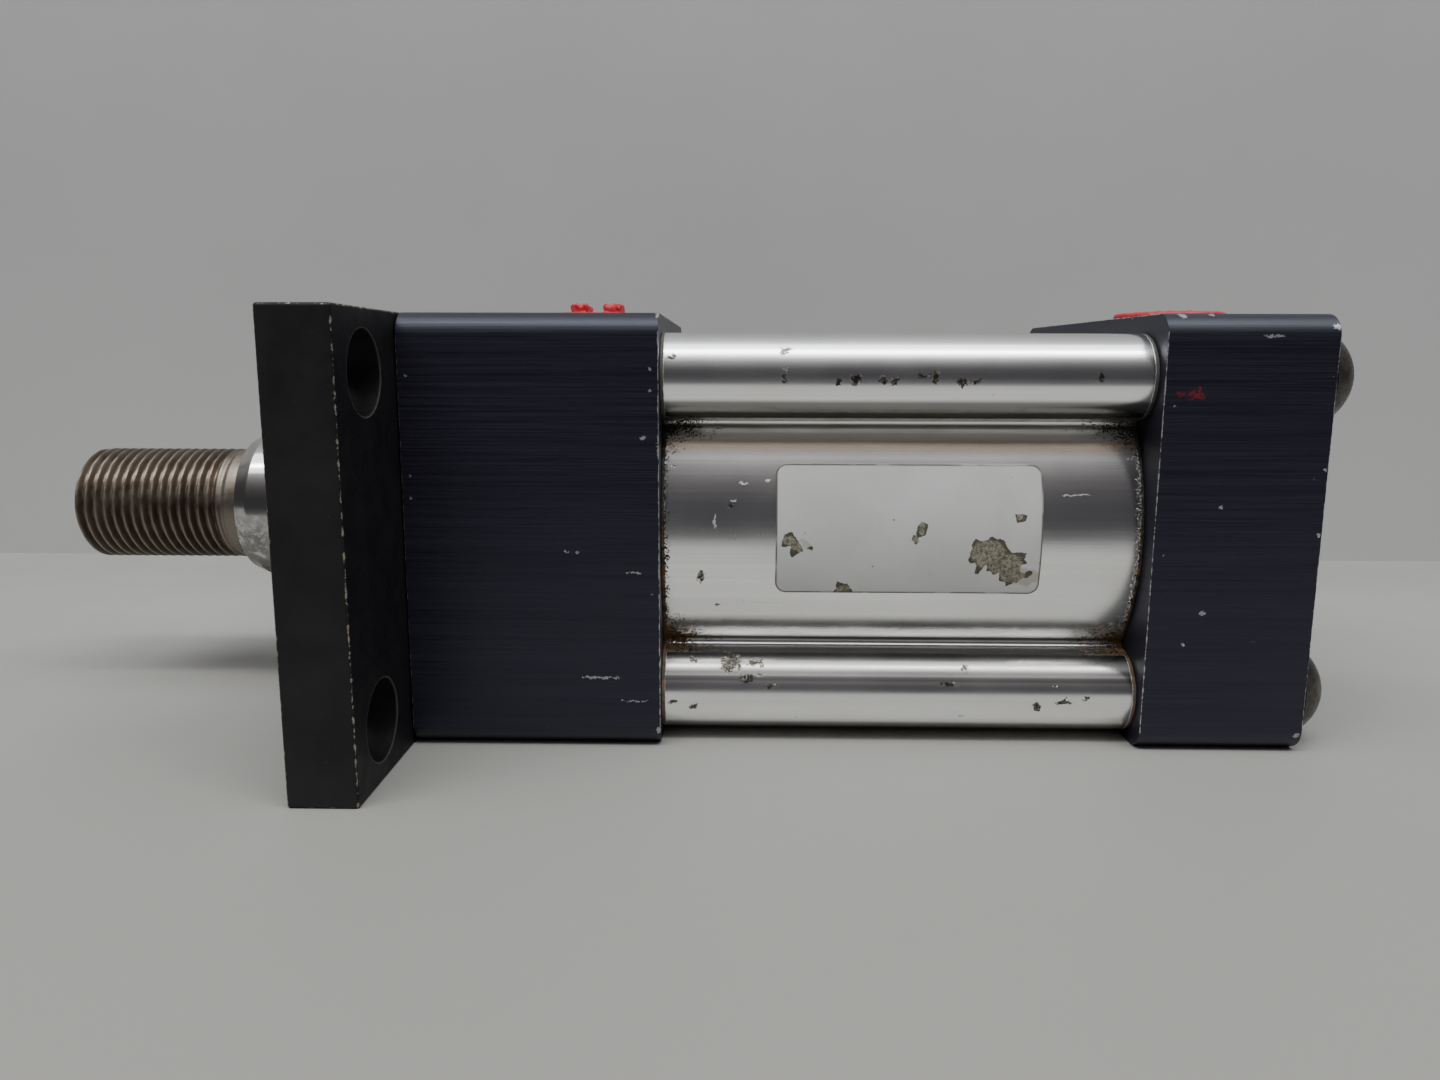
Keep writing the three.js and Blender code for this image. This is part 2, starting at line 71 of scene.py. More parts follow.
AXIS_Z = (head_low.z + head_high.z) / 2
END_HALF = (head_high.z - head_low.z) / 2
HEAD_FRONT = head_low.x
HEAD_BACK = body_low.x - SEAM
CAP_FRONT = body_high.x + SEAM
CAP_BACK = cap_high.x
FRONT_PORT_X = (front_plug_low.x + front_plug_high.x) / 2
REAR_PORT_X = (rear_plug_low.x + rear_plug_high.x) / 2

# ---- sizes that the frame's boxes don't give ----
BORE_RADIUS = 25.4
TUBE_RADIUS = 28.575
LOBE_OFFSET = 23.7
LOBE_RADIUS = 6.3
LOBE_FILLET = 0.8
GROOVE_TURN = math.radians(10.5)  # from a sleeve's middle round to where its fillet meets the tube
BODY_DROP = 0.9  # how far the extrusion's outside sits below the rod's axis
SCREW_OFFSET = 23.4
SCREW_DROP = 0.6
BODY_SEAM = 0.03  # between the extrusion and an end block here
END_EDGE = 0.1  # how much the ends of the head, the cap and the extrusion are rounded
END_EDGE_RADIUS = 3.4
SPIGOT_ROOT = 2.0  # how far a spigot's shape starts inside its block
SPIGOT_RADIUS = 25.1
SHANK_RADIUS = 4.6
PORT_RADIUS = 8.25
PORT_DEPTH = 15.0
PORT_MOUTH_RADIUS = 9.1
PORT_THREAD_PITCH = 25.4 / 18
AIRWAY_RADIUS = 4.0
HEAD_AIRWAY_DEPTH = 28.0
CAP_AIRWAY_SHIFT = 4.0
CAP_RECESS_RADIUS = 16.5
CAP_RECESS_DEPTH = 5.8
CAP_DRILL_RADIUS = 5.0
FLANGE_HOLE_RADIUS = 5.556
FLANGE_HOLE_Y = 42.8625
FLANGE_HOLE_Z = 23.368
FLANGE_HOLE_RIM = 0.2
PILOT_RADIUS = 19.03
COLLAR_RADIUS = 23.0
COLLAR_LENGTH = 6.3
GLAND_RADIUS = 16.9
GLAND_DEPTH = 24.0
WIPER_RADIUS = 16.4
WIPER_DEPTH = 4.0
ROD_RADIUS = 12.7
ROD_SEAT_RADIUS = 9.4  # under the piston
ROD_STUD_RADIUS = 7.9  # under the nut
CHAMBER_RADIUS = 13.4
THREAD_RADIUS = 9.525
THREAD_PITCH = 25.4 / 16
THREAD_LENGTH = 28.575
THREAD_CRESTS = 16
THREAD_ROWS = 18  # rings of vertices in each pitch
THREAD_TIP_CHAMFER = 0.7
SHOULDER_X = rod_low.x + THREAD_LENGTH
LOW_HEAD_RADIUS = 7.15
LOW_HEAD_HEIGHT = 4.6
COUNTERBORE_DEPTH = 5.1
COUNTERBORE_RADIUS = 7.45
DOME_RADIUS = 7.6
DOME_HEIGHT = 4.8
DOME_FLAT = 3.4
HEX_RADIUS = 5.0 / math.sqrt(3)
HEX_DEPTH = 3.0
SHANK_PITCH = 1.27
SHANK_RIDGES = 9
PLUG_WALL = 1.3
PLUG_STEM = 7.2
PLUG_RIM_RADIUS = 8.8
PLUG_BOSS_RADIUS = 4.5
PLUG_SLOT_HALF_WIDTH = 1.55
PLUG_SLOT_REACH = 6.0
PLATE_CORNER = 1.6
CORNERS = [(1, 1), (-1, 1), (-1, -1), (1, -1)]
SCREWS = [(y * SCREW_OFFSET, z * SCREW_OFFSET - SCREW_DROP) for y, z in CORNERS]

# ---- numbers of the materials ----
SEED_STEP = 17.3
FAR = 9.0  # the most that a distance to the nearest mark says, in that mark's half-sizes


# ---- mesh helpers: shapes are (vertices, faces), in millimetres, with y and z from the rod's axis ----
def linked(name, data):
    """A new object in the scene."""
    new = bpy.data.objects.new(name, data)
    bpy.context.scene.collection.objects.link(new)
    return new


def made(name, shape):
    """An object of a shape, in its place, with its faces pointing out."""
    vertices, faces = shape
    mesh = bpy.data.meshes.new(name)
    mesh.from_pydata([(x * MM, y * MM, (z + AXIS_Z) * MM) for x, y, z in vertices], [], faces)
    built = bmesh.new()
    built.from_mesh(mesh)
    bmesh.ops.recalc_face_normals(built, faces=built.faces)
    built.to_mesh(mesh)
    built.free()
    return linked(name, mesh)


def applied(target):
    """Turns an object's modifiers into its mesh."""
    depsgraph = bpy.context.evaluated_depsgraph_get()
    result = bpy.data.meshes.new_from_object(target.evaluated_get(depsgraph))
    target.modifiers.clear()
    target.data = result


def combined(target, operation, tools):
    """Joins shapes to an object, or cuts them from it."""
    helpers = []
    for tool in tools:
        helpers.append(made("tool", tool))
        modifier = target.modifiers.new("combine", "BOOLEAN")
        modifier.object = helpers[-1]
        modifier.operation = operation
        modifier.solver = "EXACT"
    applied(target)
    for helper in helpers:
        bpy.data.objects.remove(helper)
    return target


def cut(target, *tools):
    return combined(target, "DIFFERENCE", tools)


def joined(target, *tools):
    return combined(target, "UNION", tools)


def softened(target, angle=32.0):
    """Smooth shading with creases above an angle, and flat faces kept flat."""
    built = bmesh.new()
    built.from_mesh(target.data)
    bmesh.ops.remove_doubles(built, verts=built.verts, dist=1e-6)
    for face in built.faces:
        face.smooth = True
    for edge in built.edges:
        edge.smooth = len(edge.link_faces) == 2 and edge.calc_face_angle() < math.radians(angle)
    built.to_mesh(target.data)
    built.free()
    modifier = target.modifiers.new("flat faces", "WEIGHTED_NORMAL")
    modifier.keep_sharp = True


def piece(target, body, slot, look, *nodes, angle=32.0):
    """Gives a finished piece its look and its body, and hides the CAD nodes it stands for. Its slot is not
    used.
    """
    softened(target, angle)
    target.data.materials.clear()
    target.data.materials.append(look)
    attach(target, body)
    if nodes:
        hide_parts(*nodes)
    return target


def rounded(points, steps=4):
    """A profile whose points are (x, radius) or (x, radius, rounding), with those corners as arcs."""
    out = []
    for k, point in enumerate(points):
        here = Vector(point[:2])
        if len(point) == 2:
            out.append(tuple(here))
            continue
        back = (Vector(points[k - 1][:2]) - here).normalized()
        ahead = (Vector(points[(k + 1) % len(points)][:2]) - here).normalized()
        half = back.angle(ahead) / 2
        centre = here + (back + ahead).normalized() * point[2] / math.sin(half)
        start = here + back * point[2] / math.tan(half) - centre
        end = here + ahead * point[2] / math.tan(half) - centre
        turn = start.angle(end)
        for step in range(steps + 1):
            share = step / steps
            spot = start * math.sin((1 - share) * turn) + end * math.sin(share * turn)
            out.append(tuple(centre + spot / math.sin(turn)))
    return out


def lathe(profile, segments=96, closed=False):
    """(x, radius) points turned about the rod's axis. A radius may be a function of the angle.

    A closed profile makes a ring."""
    vertices, rings = [], []
    for x, size in profile:
        count = segments if callable(size) or size > 1e-6 else 1
        rings.append(range(len(vertices), len(vertices) + count))
        for k in range(count):
            angle = math.tau * k / segments
            radius = size(angle) if callable(size) else size
            vertices.append((x, radius * math.cos(angle), radius * math.sin(angle)))
    faces = []
    for a, b in zip(rings, rings[1:] + (rings[:1] if closed else [])):
        for k in range(segments):
            n = (k + 1) % segments
            corners = [a[k % len(a)], a[n % len(a)], b[n % len(b)], b[k % len(b)]]
            corners = list(dict.fromkeys(corners))
            if len(corners) > 2:
                faces.append(corners)
    return vertices, faces


def bar(from_x, to_x, radius, segments=64):
    return lathe([(from_x, 0), (from_x, radius), (to_x, radius), (to_x, 0)], segments)


def moved(shape, x=0.0, y=0.0, z=0.0):
    return [(a + x, b + y, c + z) for a, b, c in shape[0]], shape[1]


def upright(shape, x):
    """A shape turned so that what lay along X stands along Z, at a place along the rod's axis."""
    return [(b + x, c, a) for a, b, c in shape[0]], shape[1]


def strips(rings, count):
    """The faces between rings of vertices that follow one another."""
    faces = []
    for ring in range(rings - 1):
        for k in range(count):
            a, b = ring * count + k, ring * count + (k + 1) % count
            faces.append([a, b, b + count, a + count])
    return faces


def prism(outline, from_x, to_x, edge=0.4, steps=3):
    """A bar along X with rounded ends. outline(inset) gives its (y, z) points."""
    stations = []
    for k in range(steps + 1):
        turn = math.pi / 2 * k / steps
        stations.append((from_x + edge * (1 - math.cos(turn)), edge * (1 - math.sin(turn))))
    stations += [(from_x + to_x - x, inset) for x, inset in reversed(stations)]
    vertices = [(x, y, z) for x, inset in stations for y, z in outline(inset)]
    count = len(outline(0))
    ends = [list(range(count)), list(range(len(vertices) - count, len(vertices)))]
    return vertices, ends + strips(len(stations), count)


def arc(centre, radius, start, end, steps):
    """(y, z) points along an arc, without its last one."""
    angles = [start + (end - start) * k / steps for k in range(steps)]
    return [(centre[0] + radius * math.cos(a), centre[1] + radius * math.sin(a)) for a in angles]


def rectangle(width, height, radius, steps=8):
    """The outline of a rectangle with round corners, as a function of its inset."""
    w, h = width / 2 - radius, height / 2 - radius
    quarter = math.pi / 2

    def outline(inset):
        points = []
        for k, centre in enumerate([(w, h), (-w, h), (-w, -h), (w, -h)]):
            points += arc(centre, radius - inset, k * quarter, (k + 1) * quarter, steps)
            points += arc(centre, radius - inset, (k + 1) * quarter, 0, 1)
        return points

    return outline


def body_outline(inset):
    """The tube's outline with a sleeve at each corner."""
    tube, lobe, fillet = TUBE_RADIUS - inset, LOBE_RADIUS - inset, LOBE_FILLET + inset
    reach = LOBE_OFFSET * math.sqrt(2)
    to_fillet, lobe_to_fillet = tube + fillet, lobe + fillet
    spread = math.acos((to_fillet**2 + reach**2 - lobe_to_fillet**2) / (2 * to_fillet * reach))
    turn = math.atan2(to_fillet * math.sin(spread), reach - to_fillet * math.cos(spread))
    points = []
    for corner in range(4):
        middle = math.pi / 4 + corner * math.pi / 2
        before, after = middle - spread, middle + spread

        def at(distance, angle):
            return distance * math.cos(angle), distance * math.sin(angle)

        points += arc(at(to_fillet, before), fillet, before + math.pi, middle + turn, 8)
        points += arc(at(reach, middle), lobe, middle + turn - math.pi, middle - turn + math.pi, 48)
        points += arc(at(to_fillet, after), fillet, middle - turn, after - math.pi, 8)
        points += arc((0, 0), tube, after, before + math.pi / 2, 40)
    return [(y, z - BODY_DROP) for y, z in points]


def hex_socket(x, sign):
    """A cutting shape for a hexagon socket that opens at x towards +X or -X, with a chamfered mouth."""
    past, end = x + sign * PAST, x - sign * HEX_DEPTH
    mouth, throat = x + sign * 0.3, x - sign * 0.35
    socket = [(past, 0), (past, HEX_RADIUS), (end, HEX_RADIUS), (end - sign * 1.2, 0)]
    cone = [(mouth, 0), (mouth, HEX_RADIUS + 0.25), (throat, HEX_RADIUS * 0.8), (throat, 0)]
    return lathe(socket, 6), lathe(cone, 48)


# ---- material helpers ----
def operation(name, swapped=False):
    """A method that adds a math node between a value and another one or a number."""
    def method(value, other):
        return value.nodes.math(name, other, value) if swapped else value.nodes.math(name, value, other)

    return method


class Value:
    """A number that nodes give at each place. Arithmetic on it adds math nodes."""

    __add__ = operation("ADD")
    __sub__ = operation("SUBTRACT")
    __rsub__ = operation("SUBTRACT", swapped=True)
    __mul__ = operation("MULTIPLY")
    __truediv__ = operation("DIVIDE")

    def __init__(self, nodes, socket):
        self.nodes = nodes
        self.socket = socket

    def __neg__(self):
        return 0.0 - self

    def __abs__(self):
        return self.nodes.math("ABSOLUTE", self)

    def step(self, low, high, out_low=0.0, out_high=1.0):
        """A smooth rise from out_low to out_high as the value goes from low to high."""
        inputs = {"Value": self, "From Min": low, "From Max": high, "To Min": out_low, "To Max": out_high}
        node = self.nodes.add("MapRange", inputs, interpolation_type="SMOOTHSTEP")
        return Value(self.nodes, node.outputs["Result"])


class Nodes:
    """A tree of shader nodes. Inputs are sockets, values or plain numbers."""

    def __init__(self, tree):
        self.tree = tree

    def set(self, socket, value):
        if isinstance(value, Value):
            value = value.socket
        if isinstance(value, bpy.types.NodeSocket):
            self.tree.links.new(value, socket)
        elif socket.type == "RGBA" and len(value) == 3:
            socket.default_value = (*value, 1)
        else:
            socket.default_value = value

    def add(self, kind, inputs=(), **settings):
        node = self.tree.nodes.new("ShaderNode" + kind)
        for key, value in settings.items():
            setattr(node, key, value)
        for key, value in dict(inputs).items():
            self.set(node.inputs[key], value)
        return node

    def split(self, vector):
        return [Value(self, part) for part in self.add("SeparateXYZ", {"Vector": vector}).outputs]

    def camera_ray(self):
        return Value(self, self.add("LightPath").outputs["Is Camera Ray"])

    def math(self, name, a, b=0.0):
        return Value(self, self.add("Math", {0: a, 1: b}, operation=name).outputs[0])

    def most(self, *values):
        return reduce(lambda a, b: self.math("MAXIMUM", a, b), values)

    def least(self, *values):
        return reduce(lambda a, b: self.math("MINIMUM", a, b), values)

    def mix(self, share, a, b):
        return self.add("Mix", {"Factor": share, 6: a, 7: b}, data_type="RGBA").outputs[2]


def per_axis(frequency):
    return frequency if isinstance(frequency, tuple) else (frequency,) * 3


class Look(Nodes):
    """A procedural material whose coordinates are the piece's own, in millimetres.

    Its colour and its normal are built up in layers, by paint and relief."""

    def __init__(self, name, **constants):
        self.material = bpy.data.materials.new(name)
        self.material.use_nodes = True
        super().__init__(self.material.node_tree)
        self.shader = self.tree.nodes["Principled BSDF"]
        self.put(**constants)
        self.place = self.vector("SCALE", self.add("TexCoord").outputs["Object"], Scale=1 / MM)
        self.x, self.y, self.z = self.split(self.place)
        self.seed = 0
        self.normal = None

    def put(self, **sockets):
        """Sets the shader's sockets by name, with _ for a space."""
        for socket, value in sockets.items():
            self.set(self.shader.inputs[socket.replace("_", " ")], value)
        return self.material

    def finish(self, **sockets):
        if self.normal is not None:
            self.put(Normal=self.normal)
        return self.put(Base_Color=self.colour, **sockets)

    def paint(self, share, colour):
        self.colour = self.mix(share, self.colour, colour)

    def relief(self, height, millimetres):
        inputs = {"Height": height, "Strength": 1.0, "Distance": millimetres * MM}
        if self.normal is not None:
            inputs["Normal"] = self.normal
        self.normal = self.add("Bump", inputs).outputs["Normal"]

    def vector(self, name, a, b=(0, 0, 0), **named):
        return self.add("VectorMath", {0: a, 1: b, **named}, operation=name).outputs["Vector"]

    def length(self, vector):
        return Value(self, self.add("VectorMath", {0: vector}, operation="LENGTH").outputs["Value"])

    def hypot(self, a, b):
        return self.math("POWER", a * a + b * b, 0.5)

    def stretched(self, frequency):
        """The place scaled by cells per millimetre along each axis, and moved by a seed of its own."""
        self.seed += SEED_STEP
        inputs = {0: self.place, 1: per_axis(frequency), 2: (self.seed, self.seed / 2, 5)}
        node = self.add("VectorMath", inputs, operation="MULTIPLY_ADD")
        return node.outputs["Vector"]

    def cloudy(self, frequency, detail, roughness):
        inputs = {"Vector": self.stretched(frequency), "Scale": 1.0, "Detail": detail}
        return self.add("TexNoise", {**inputs, "Roughness": roughness})

    def noise(self, frequency, detail=2.0, roughness=0.5):
        return Value(self, self.cloudy(frequency, detail, roughness).outputs["Fac"])

    def bent(self, vector, frequency, amount):
        """A vector moved about by noise, so that what it draws gets a ragged outline."""
        push = self.vector("SUBTRACT", self.cloudy(frequency, 3.0, 0.65).outputs["Color"], (0.5, 0.5, 0.5))
        return self.vector("ADD", vector, self.vector("SCALE", push, Scale=amount))

    def dots(self, frequency, size, share):
        """Scattered ragged dots: size in cells, and the share of the cells that hold one."""
        finer = tuple(3.5 * part for part in per_axis(frequency))
        cells = self.bent(self.stretched(frequency), finer, 3.0 * size)
        cells = self.add("TexVoronoi", {"Vector": cells, "Scale": 1.0})
        held = self.add("SeparateColor", {"Color": cells.outputs["Color"]}).outputs
        radius = Value(self, held["Green"]) * size + size * 0.2
        inside = (Value(self, cells.outputs["Distance"]) / radius).step(1.0, 0.75)
        return inside * self.math("LESS_THAN", held["Red"], share)

    def patches(self, frequency, size, share, cloud, low, high):
        """Dots that keep to the patches of a cloudy noise."""
        return self.dots(frequency, size, share) * self.noise(cloud).step(low, high)

    def off_spots(self, marks, ragged, frequency, flake=0.0):
        """Distance to the nearest of some (centre, half-size) spots: 1 on their ragged edges.

        With a flake size in millimetres, the edges are broken into straight lines."""
        place = self.bent(self.place, frequency, 2 * ragged)
        if flake:
            scaled = self.vector("SCALE", place, Scale=1 / flake)
            cells = self.add("TexVoronoi", {"Vector": scaled, "Scale": 1.0})
            place = self.vector("SCALE", cells.outputs["Position"], Scale=flake)
        nearest = FAR
        for centre, size in marks:
            away = self.vector("DIVIDE", self.vector("SUBTRACT", place, centre), size)
            nearest = self.least(nearest, self.length(away))
        return nearest

    def off_middle(self, middle):
        return self.vector("ABSOLUTE", self.vector("SUBTRACT", self.place, middle))

    def edge_distance(self, low, high, long_edges=True):
        """How far a place on a box is from its nearest edge. Edges along X may be left out."""
        off = self.off_middle((low + high) / 2)
        x, y, z = self.split(self.vector("SUBTRACT", (high - low) / 2, off))
        across = self.least(y, z)
        if not long_edges:
            return self.most(x, across)
        return self.most(across, self.least(self.most(y, z), x))


def spots(y, half_depth, rows, base_z=0.0):
    """Spots at one depth. A row has a spot's x, its z above a base, its half width and its half height."""
    return [((x, y, base_z + z), (width, half_depth, height)) for x, z, width, height in rows]


def worn_edge(look, distance, width, coverage):
    """A broken line of wear along edges: width in millimetres, coverage from 0 to 1."""
    ragged = look.noise(0.9, 4.0, 0.65) * 2.2 + (coverage - 1.1)
    return (distance - ragged * width).step(0.06, -0.06)


# ---- materials ----
def flange_look():
    """Black oxide steel, worn to bare metal along its edges, with painted shade that makes it darkest on
    its back and in its holes.
    """
    look = Look("black oxide steel", Metallic=0.0, Specular_IOR_Level=0.22)
    grain = look.noise(2.4, 4.0, 0.6)
    cloud = look.noise(0.09, 3.0, 0.6)
    look.colour = look.mix(cloud.step(0.3, 0.7), (0.0125, 0.0118, 0.0135), (0.0205, 0.019, 0.0195))
    smear = look.noise((0.05, 0.3, 0.05), 3.0).step(0.52, 0.75) * 0.5
    look.paint(smear, (0.024, 0.022, 0.020))
    dust = look.dots(0.9, 0.12, 0.12) * 0.3
    look.paint(dust, (0.12, 0.11, 0.095))
    # painted shade: the back face is darkened for the shadow that falls on it
    back = look.x.step(flange_high.x - 0.4, flange_high.x - 0.05) * 0.7
    look.paint(back, (0.004, 0.004, 0.006))
    wear = worn_edge(look, look.edge_distance(flange_low, flange_high), 0.5, 0.2)
    from_hole = look.hypot(abs(look.y) - FLANGE_HOLE_Y, abs(look.z - AXIS_Z) - FLANGE_HOLE_Z)
    from_hole = from_hole - FLANGE_HOLE_RADIUS
    # painted shade: the insides of the holes are darkened
    inside = from_hole.step(0.25, 0.02)
    look.paint(inside, (0.006, 0.006, 0.007))
    rim = from_hole.step(0.35, 0.2) * 0.3
    bare = look.most(wear, rim * (1.0 - inside))
    look.paint(bare, look.mix(look.noise(1.3, 3.0), (0.17, 0.13, 0.085), (0.42, 0.38, 0.32)))
    look.relief(grain, 0.035)
    look.relief(-wear, 0.06)
    return look.finish(Metallic=bare * 0.6, Roughness=look.noise(0.25, 4.0).step(0.25, 0.8, 0.46, 0.66))


def anodised_look(name, low, high, marks):
    """Black anodised aluminium, brushed along X, chipped to bright metal at its end edges."""
    look = Look(name, Specular_IOR_Level=0.5, Specular_Tint=(0.76, 0.84, 1.0))
    lines = look.noise((0.03, 5.0, 5.0), 4.0, 0.8)
    broad = look.noise((0.012, 0.9, 0.9), 2.0)
    cloud = look.noise(0.07, 3.0, 0.6)
    shade = (lines * 0.8 + broad * 0.2).step(0.38, 0.62)
    look.colour = look.mix(shade, (0.0065, 0.0057, 0.0112), (0.0175, 0.0155, 0.0265))
    look.paint(cloud.step(0.45, 0.8, 0.0, 0.4), (0.013, 0.0125, 0.018))
    distance = look.edge_distance(low, high, long_edges=False)
    wear = worn_edge(look, distance, 0.26, 0.28)
    specks = look.patches(0.4, 0.06, 0.16, 0.12, 0.46, 0.62)
    hairs = look.patches((0.1, 0.1, 2.2), 0.05, 0.1, 0.1, 0.45, 0.65)
    corner = look.dots(0.55, 0.16, 0.3) * distance.step(2.2, 0.3)
    placed = look.off_spots(marks, 0.45, 1.4, 0.22).step(1.0, 0.9, 0.0, 0.6)
    bare = look.most(wear, specks, hairs * 0.3, corner, placed)
    look.paint(bare, look.mix(look.noise(2.2), (0.42, 0.42, 0.43), (0.85, 0.85, 0.85)))
    look.relief(lines, 0.018)
    look.relief(-bare, 0.05)
    look.put(Metallic=bare, Roughness=lines.step(0.3, 0.7, 0.34, 0.5))
    return look


def head_look():
    marks = spots(-END_HALF, 1, [
        (-8.0, 10.75, 3.0, 0.16), (-3.2, 7.2, 2.2, 0.1), (-3.0, 26.5, 1.2, 0.12), (-12.0, 29.5, 1.2, 0.1),
        (-1.6, 46.0, 0.5, 0.25), (0.6, 44.5, 0.2, 1.3), (0.5, 2.6, 0.4, 0.5)])
    marks += spots(2 - END_HALF, 1, [(0.5, 63.1, 0.4, 0.6)])
    back = Vector((HEAD_BACK, head_high.y, head_high.z))
    return anodised_look("black anodised head", head_low, back, marks).finish()


def cap_look():
    """The head's material, with a smudge of red paint."""
    marks = spots(-END_HALF, 1, [
        (80.1, 36.5, 0.3, 0.3), (78.8, 21.1, 0.5, 0.25), (76.4, 16.4, 0.35, 0.2), (94.9, 57.0, 0.3, 2.2)])
    marks += spots(0.3 - END_HALF, 1.2, [(93.9, 2.7, 0.5, 0.4)])
    marks += spots(1 - END_HALF, 1.5, [(85.5, 60.4, 1.9, 0.25), (94.2, 61.6, 0.7, 0.4)])
    marks += spots(2 - END_HALF, 1.2, [(73.6, 63.2, 0.6, 0.5)])
    marks += spots(2 - END_HALF, 0.8, [(77.8, 63.3, 0.3, 0.3)])
    front = Vector((CAP_FRONT, cap_low.y, cap_low.z))
    look = anodised_look("black anodised cap", front, cap_high, marks)
    smudge = look.off_spots(spots(-END_HALF, 4, [(74.9, 52.4, 2.2, 0.8)]), 1.4, 0.9).step(1.0, 0.7)
    smudge = smudge * look.noise(2.2, 3.0).step(0.42, 0.6, 0.05, 0.6)
    look.paint(smudge, (0.28, 0.012, 0.02))
    return look.finish()


class BodyLook(Look):
    """A material for the extrusion, with the distances that its films and its dirt keep to."""

    def __init__(self, name):
        super().__init__(name)
        self.up = self.z - (AXIS_Z - BODY_DROP)
        self.on_tube = self.hypot(self.y, self.up).step(TUBE_RADIUS + 0.5, TUBE_RADIUS + 0.1)
        slope = self.math("ARCTAN2", abs(self.up), abs(self.y))
        self.from_groove = abs(GROOVE_TURN - abs(slope - math.pi / 4)) * TUBE_RADIUS
        self.from_end = self.least(self.x - body_low.x, body_high.x - self.x)


def body_film(look):
    """An oily olive film on the tube above its middle, warm at its lower border."""
    film = look.on_tube * look.up.step(13.0, 14.2)
    look.paint(film * 0.3, (0.36, 0.34, 0.29))
    warm = look.up.step(11.6, 13.5) * look.up.step(14.9, 14.1) * look.on_tube * 0.85
    look.paint(warm, (0.36, 0.27, 0.19))
    return film


def body_grime(look):
    """Grit in the corners between tube, sleeves and ends, dirt along the seams and the grooves, the tube
    darker by the lower grooves, and painted shade in the grooves and under the tube on the lower sleeves.
    """
    between = abs(look.up).step(18.0, 17.6)
    grain = look.noise(3.2, 3.0, 0.7) * 0.75 + look.noise(0.8, 3.0) * 0.25
    away = look.from_groove * 1.1 + look.from_end * 0.7
    corner = (grain - away * 0.03).step(0.405, 0.43)
    seam = (grain - look.from_end * 0.17).step(0.46, 0.485)
    line = (look.from_end - grain * 0.5).step(-0.05, -0.2)
    grime = look.most(look.most(corner, seam) * between, line * 0.9)
    below = look.up.step(5.0, -5.0)
    stain = away.step(4.5, 0.0) * between * 0.6
    stain = stain * look.most(look.on_tube, look.from_groove.step(0.8, 0.2))
    look.paint(stain, look.mix(below, (0.25, 0.235, 0.16), (0.30, 0.18, 0.075)))
    brown = look.mix(below, (0.035, 0.032, 0.018), (0.14, 0.066, 0.014))
    brown = look.mix(look.noise(0.9, 3.0).step(0.4, 0.62), brown, (0.022, 0.019, 0.011))
    streaks = look.noise((0.1, 1, 1), 4.0).step(0.3, 0.7, 0.15, 0.5)
    streaks = look.from_groove.step(1.3, 0.1) * streaks * look.on_tube
    look.paint(streaks, (0.2, 0.19, 0.16))
    # the tube is made darker, and duller in body_look, within a few millimetres of the lower grooves
    darker_by_low_grooves = look.from_groove.step(3.2, 0.6) * below * look.on_tube
    look.paint(darker_by_low_grooves * 0.5, (0.26, 0.255, 0.235))
    # painted shade: darkened in the grooves and on the lower sleeves just under the tube's bulge
    tucked_shade = 1.0 - abs(look.from_groove - 0.45).step(0.05, 0.25)
    tucked_shade = tucked_shade * below * (1.0 - look.on_tube)
    groove_shade = look.most(look.from_groove.step(0.4, 0.1) * 0.75, tucked_shade * 0.6)
    look.paint(groove_shade, (0.05, 0.045, 0.035))
    look.paint(grime, brown)
    return grime, darker_by_low_grooves


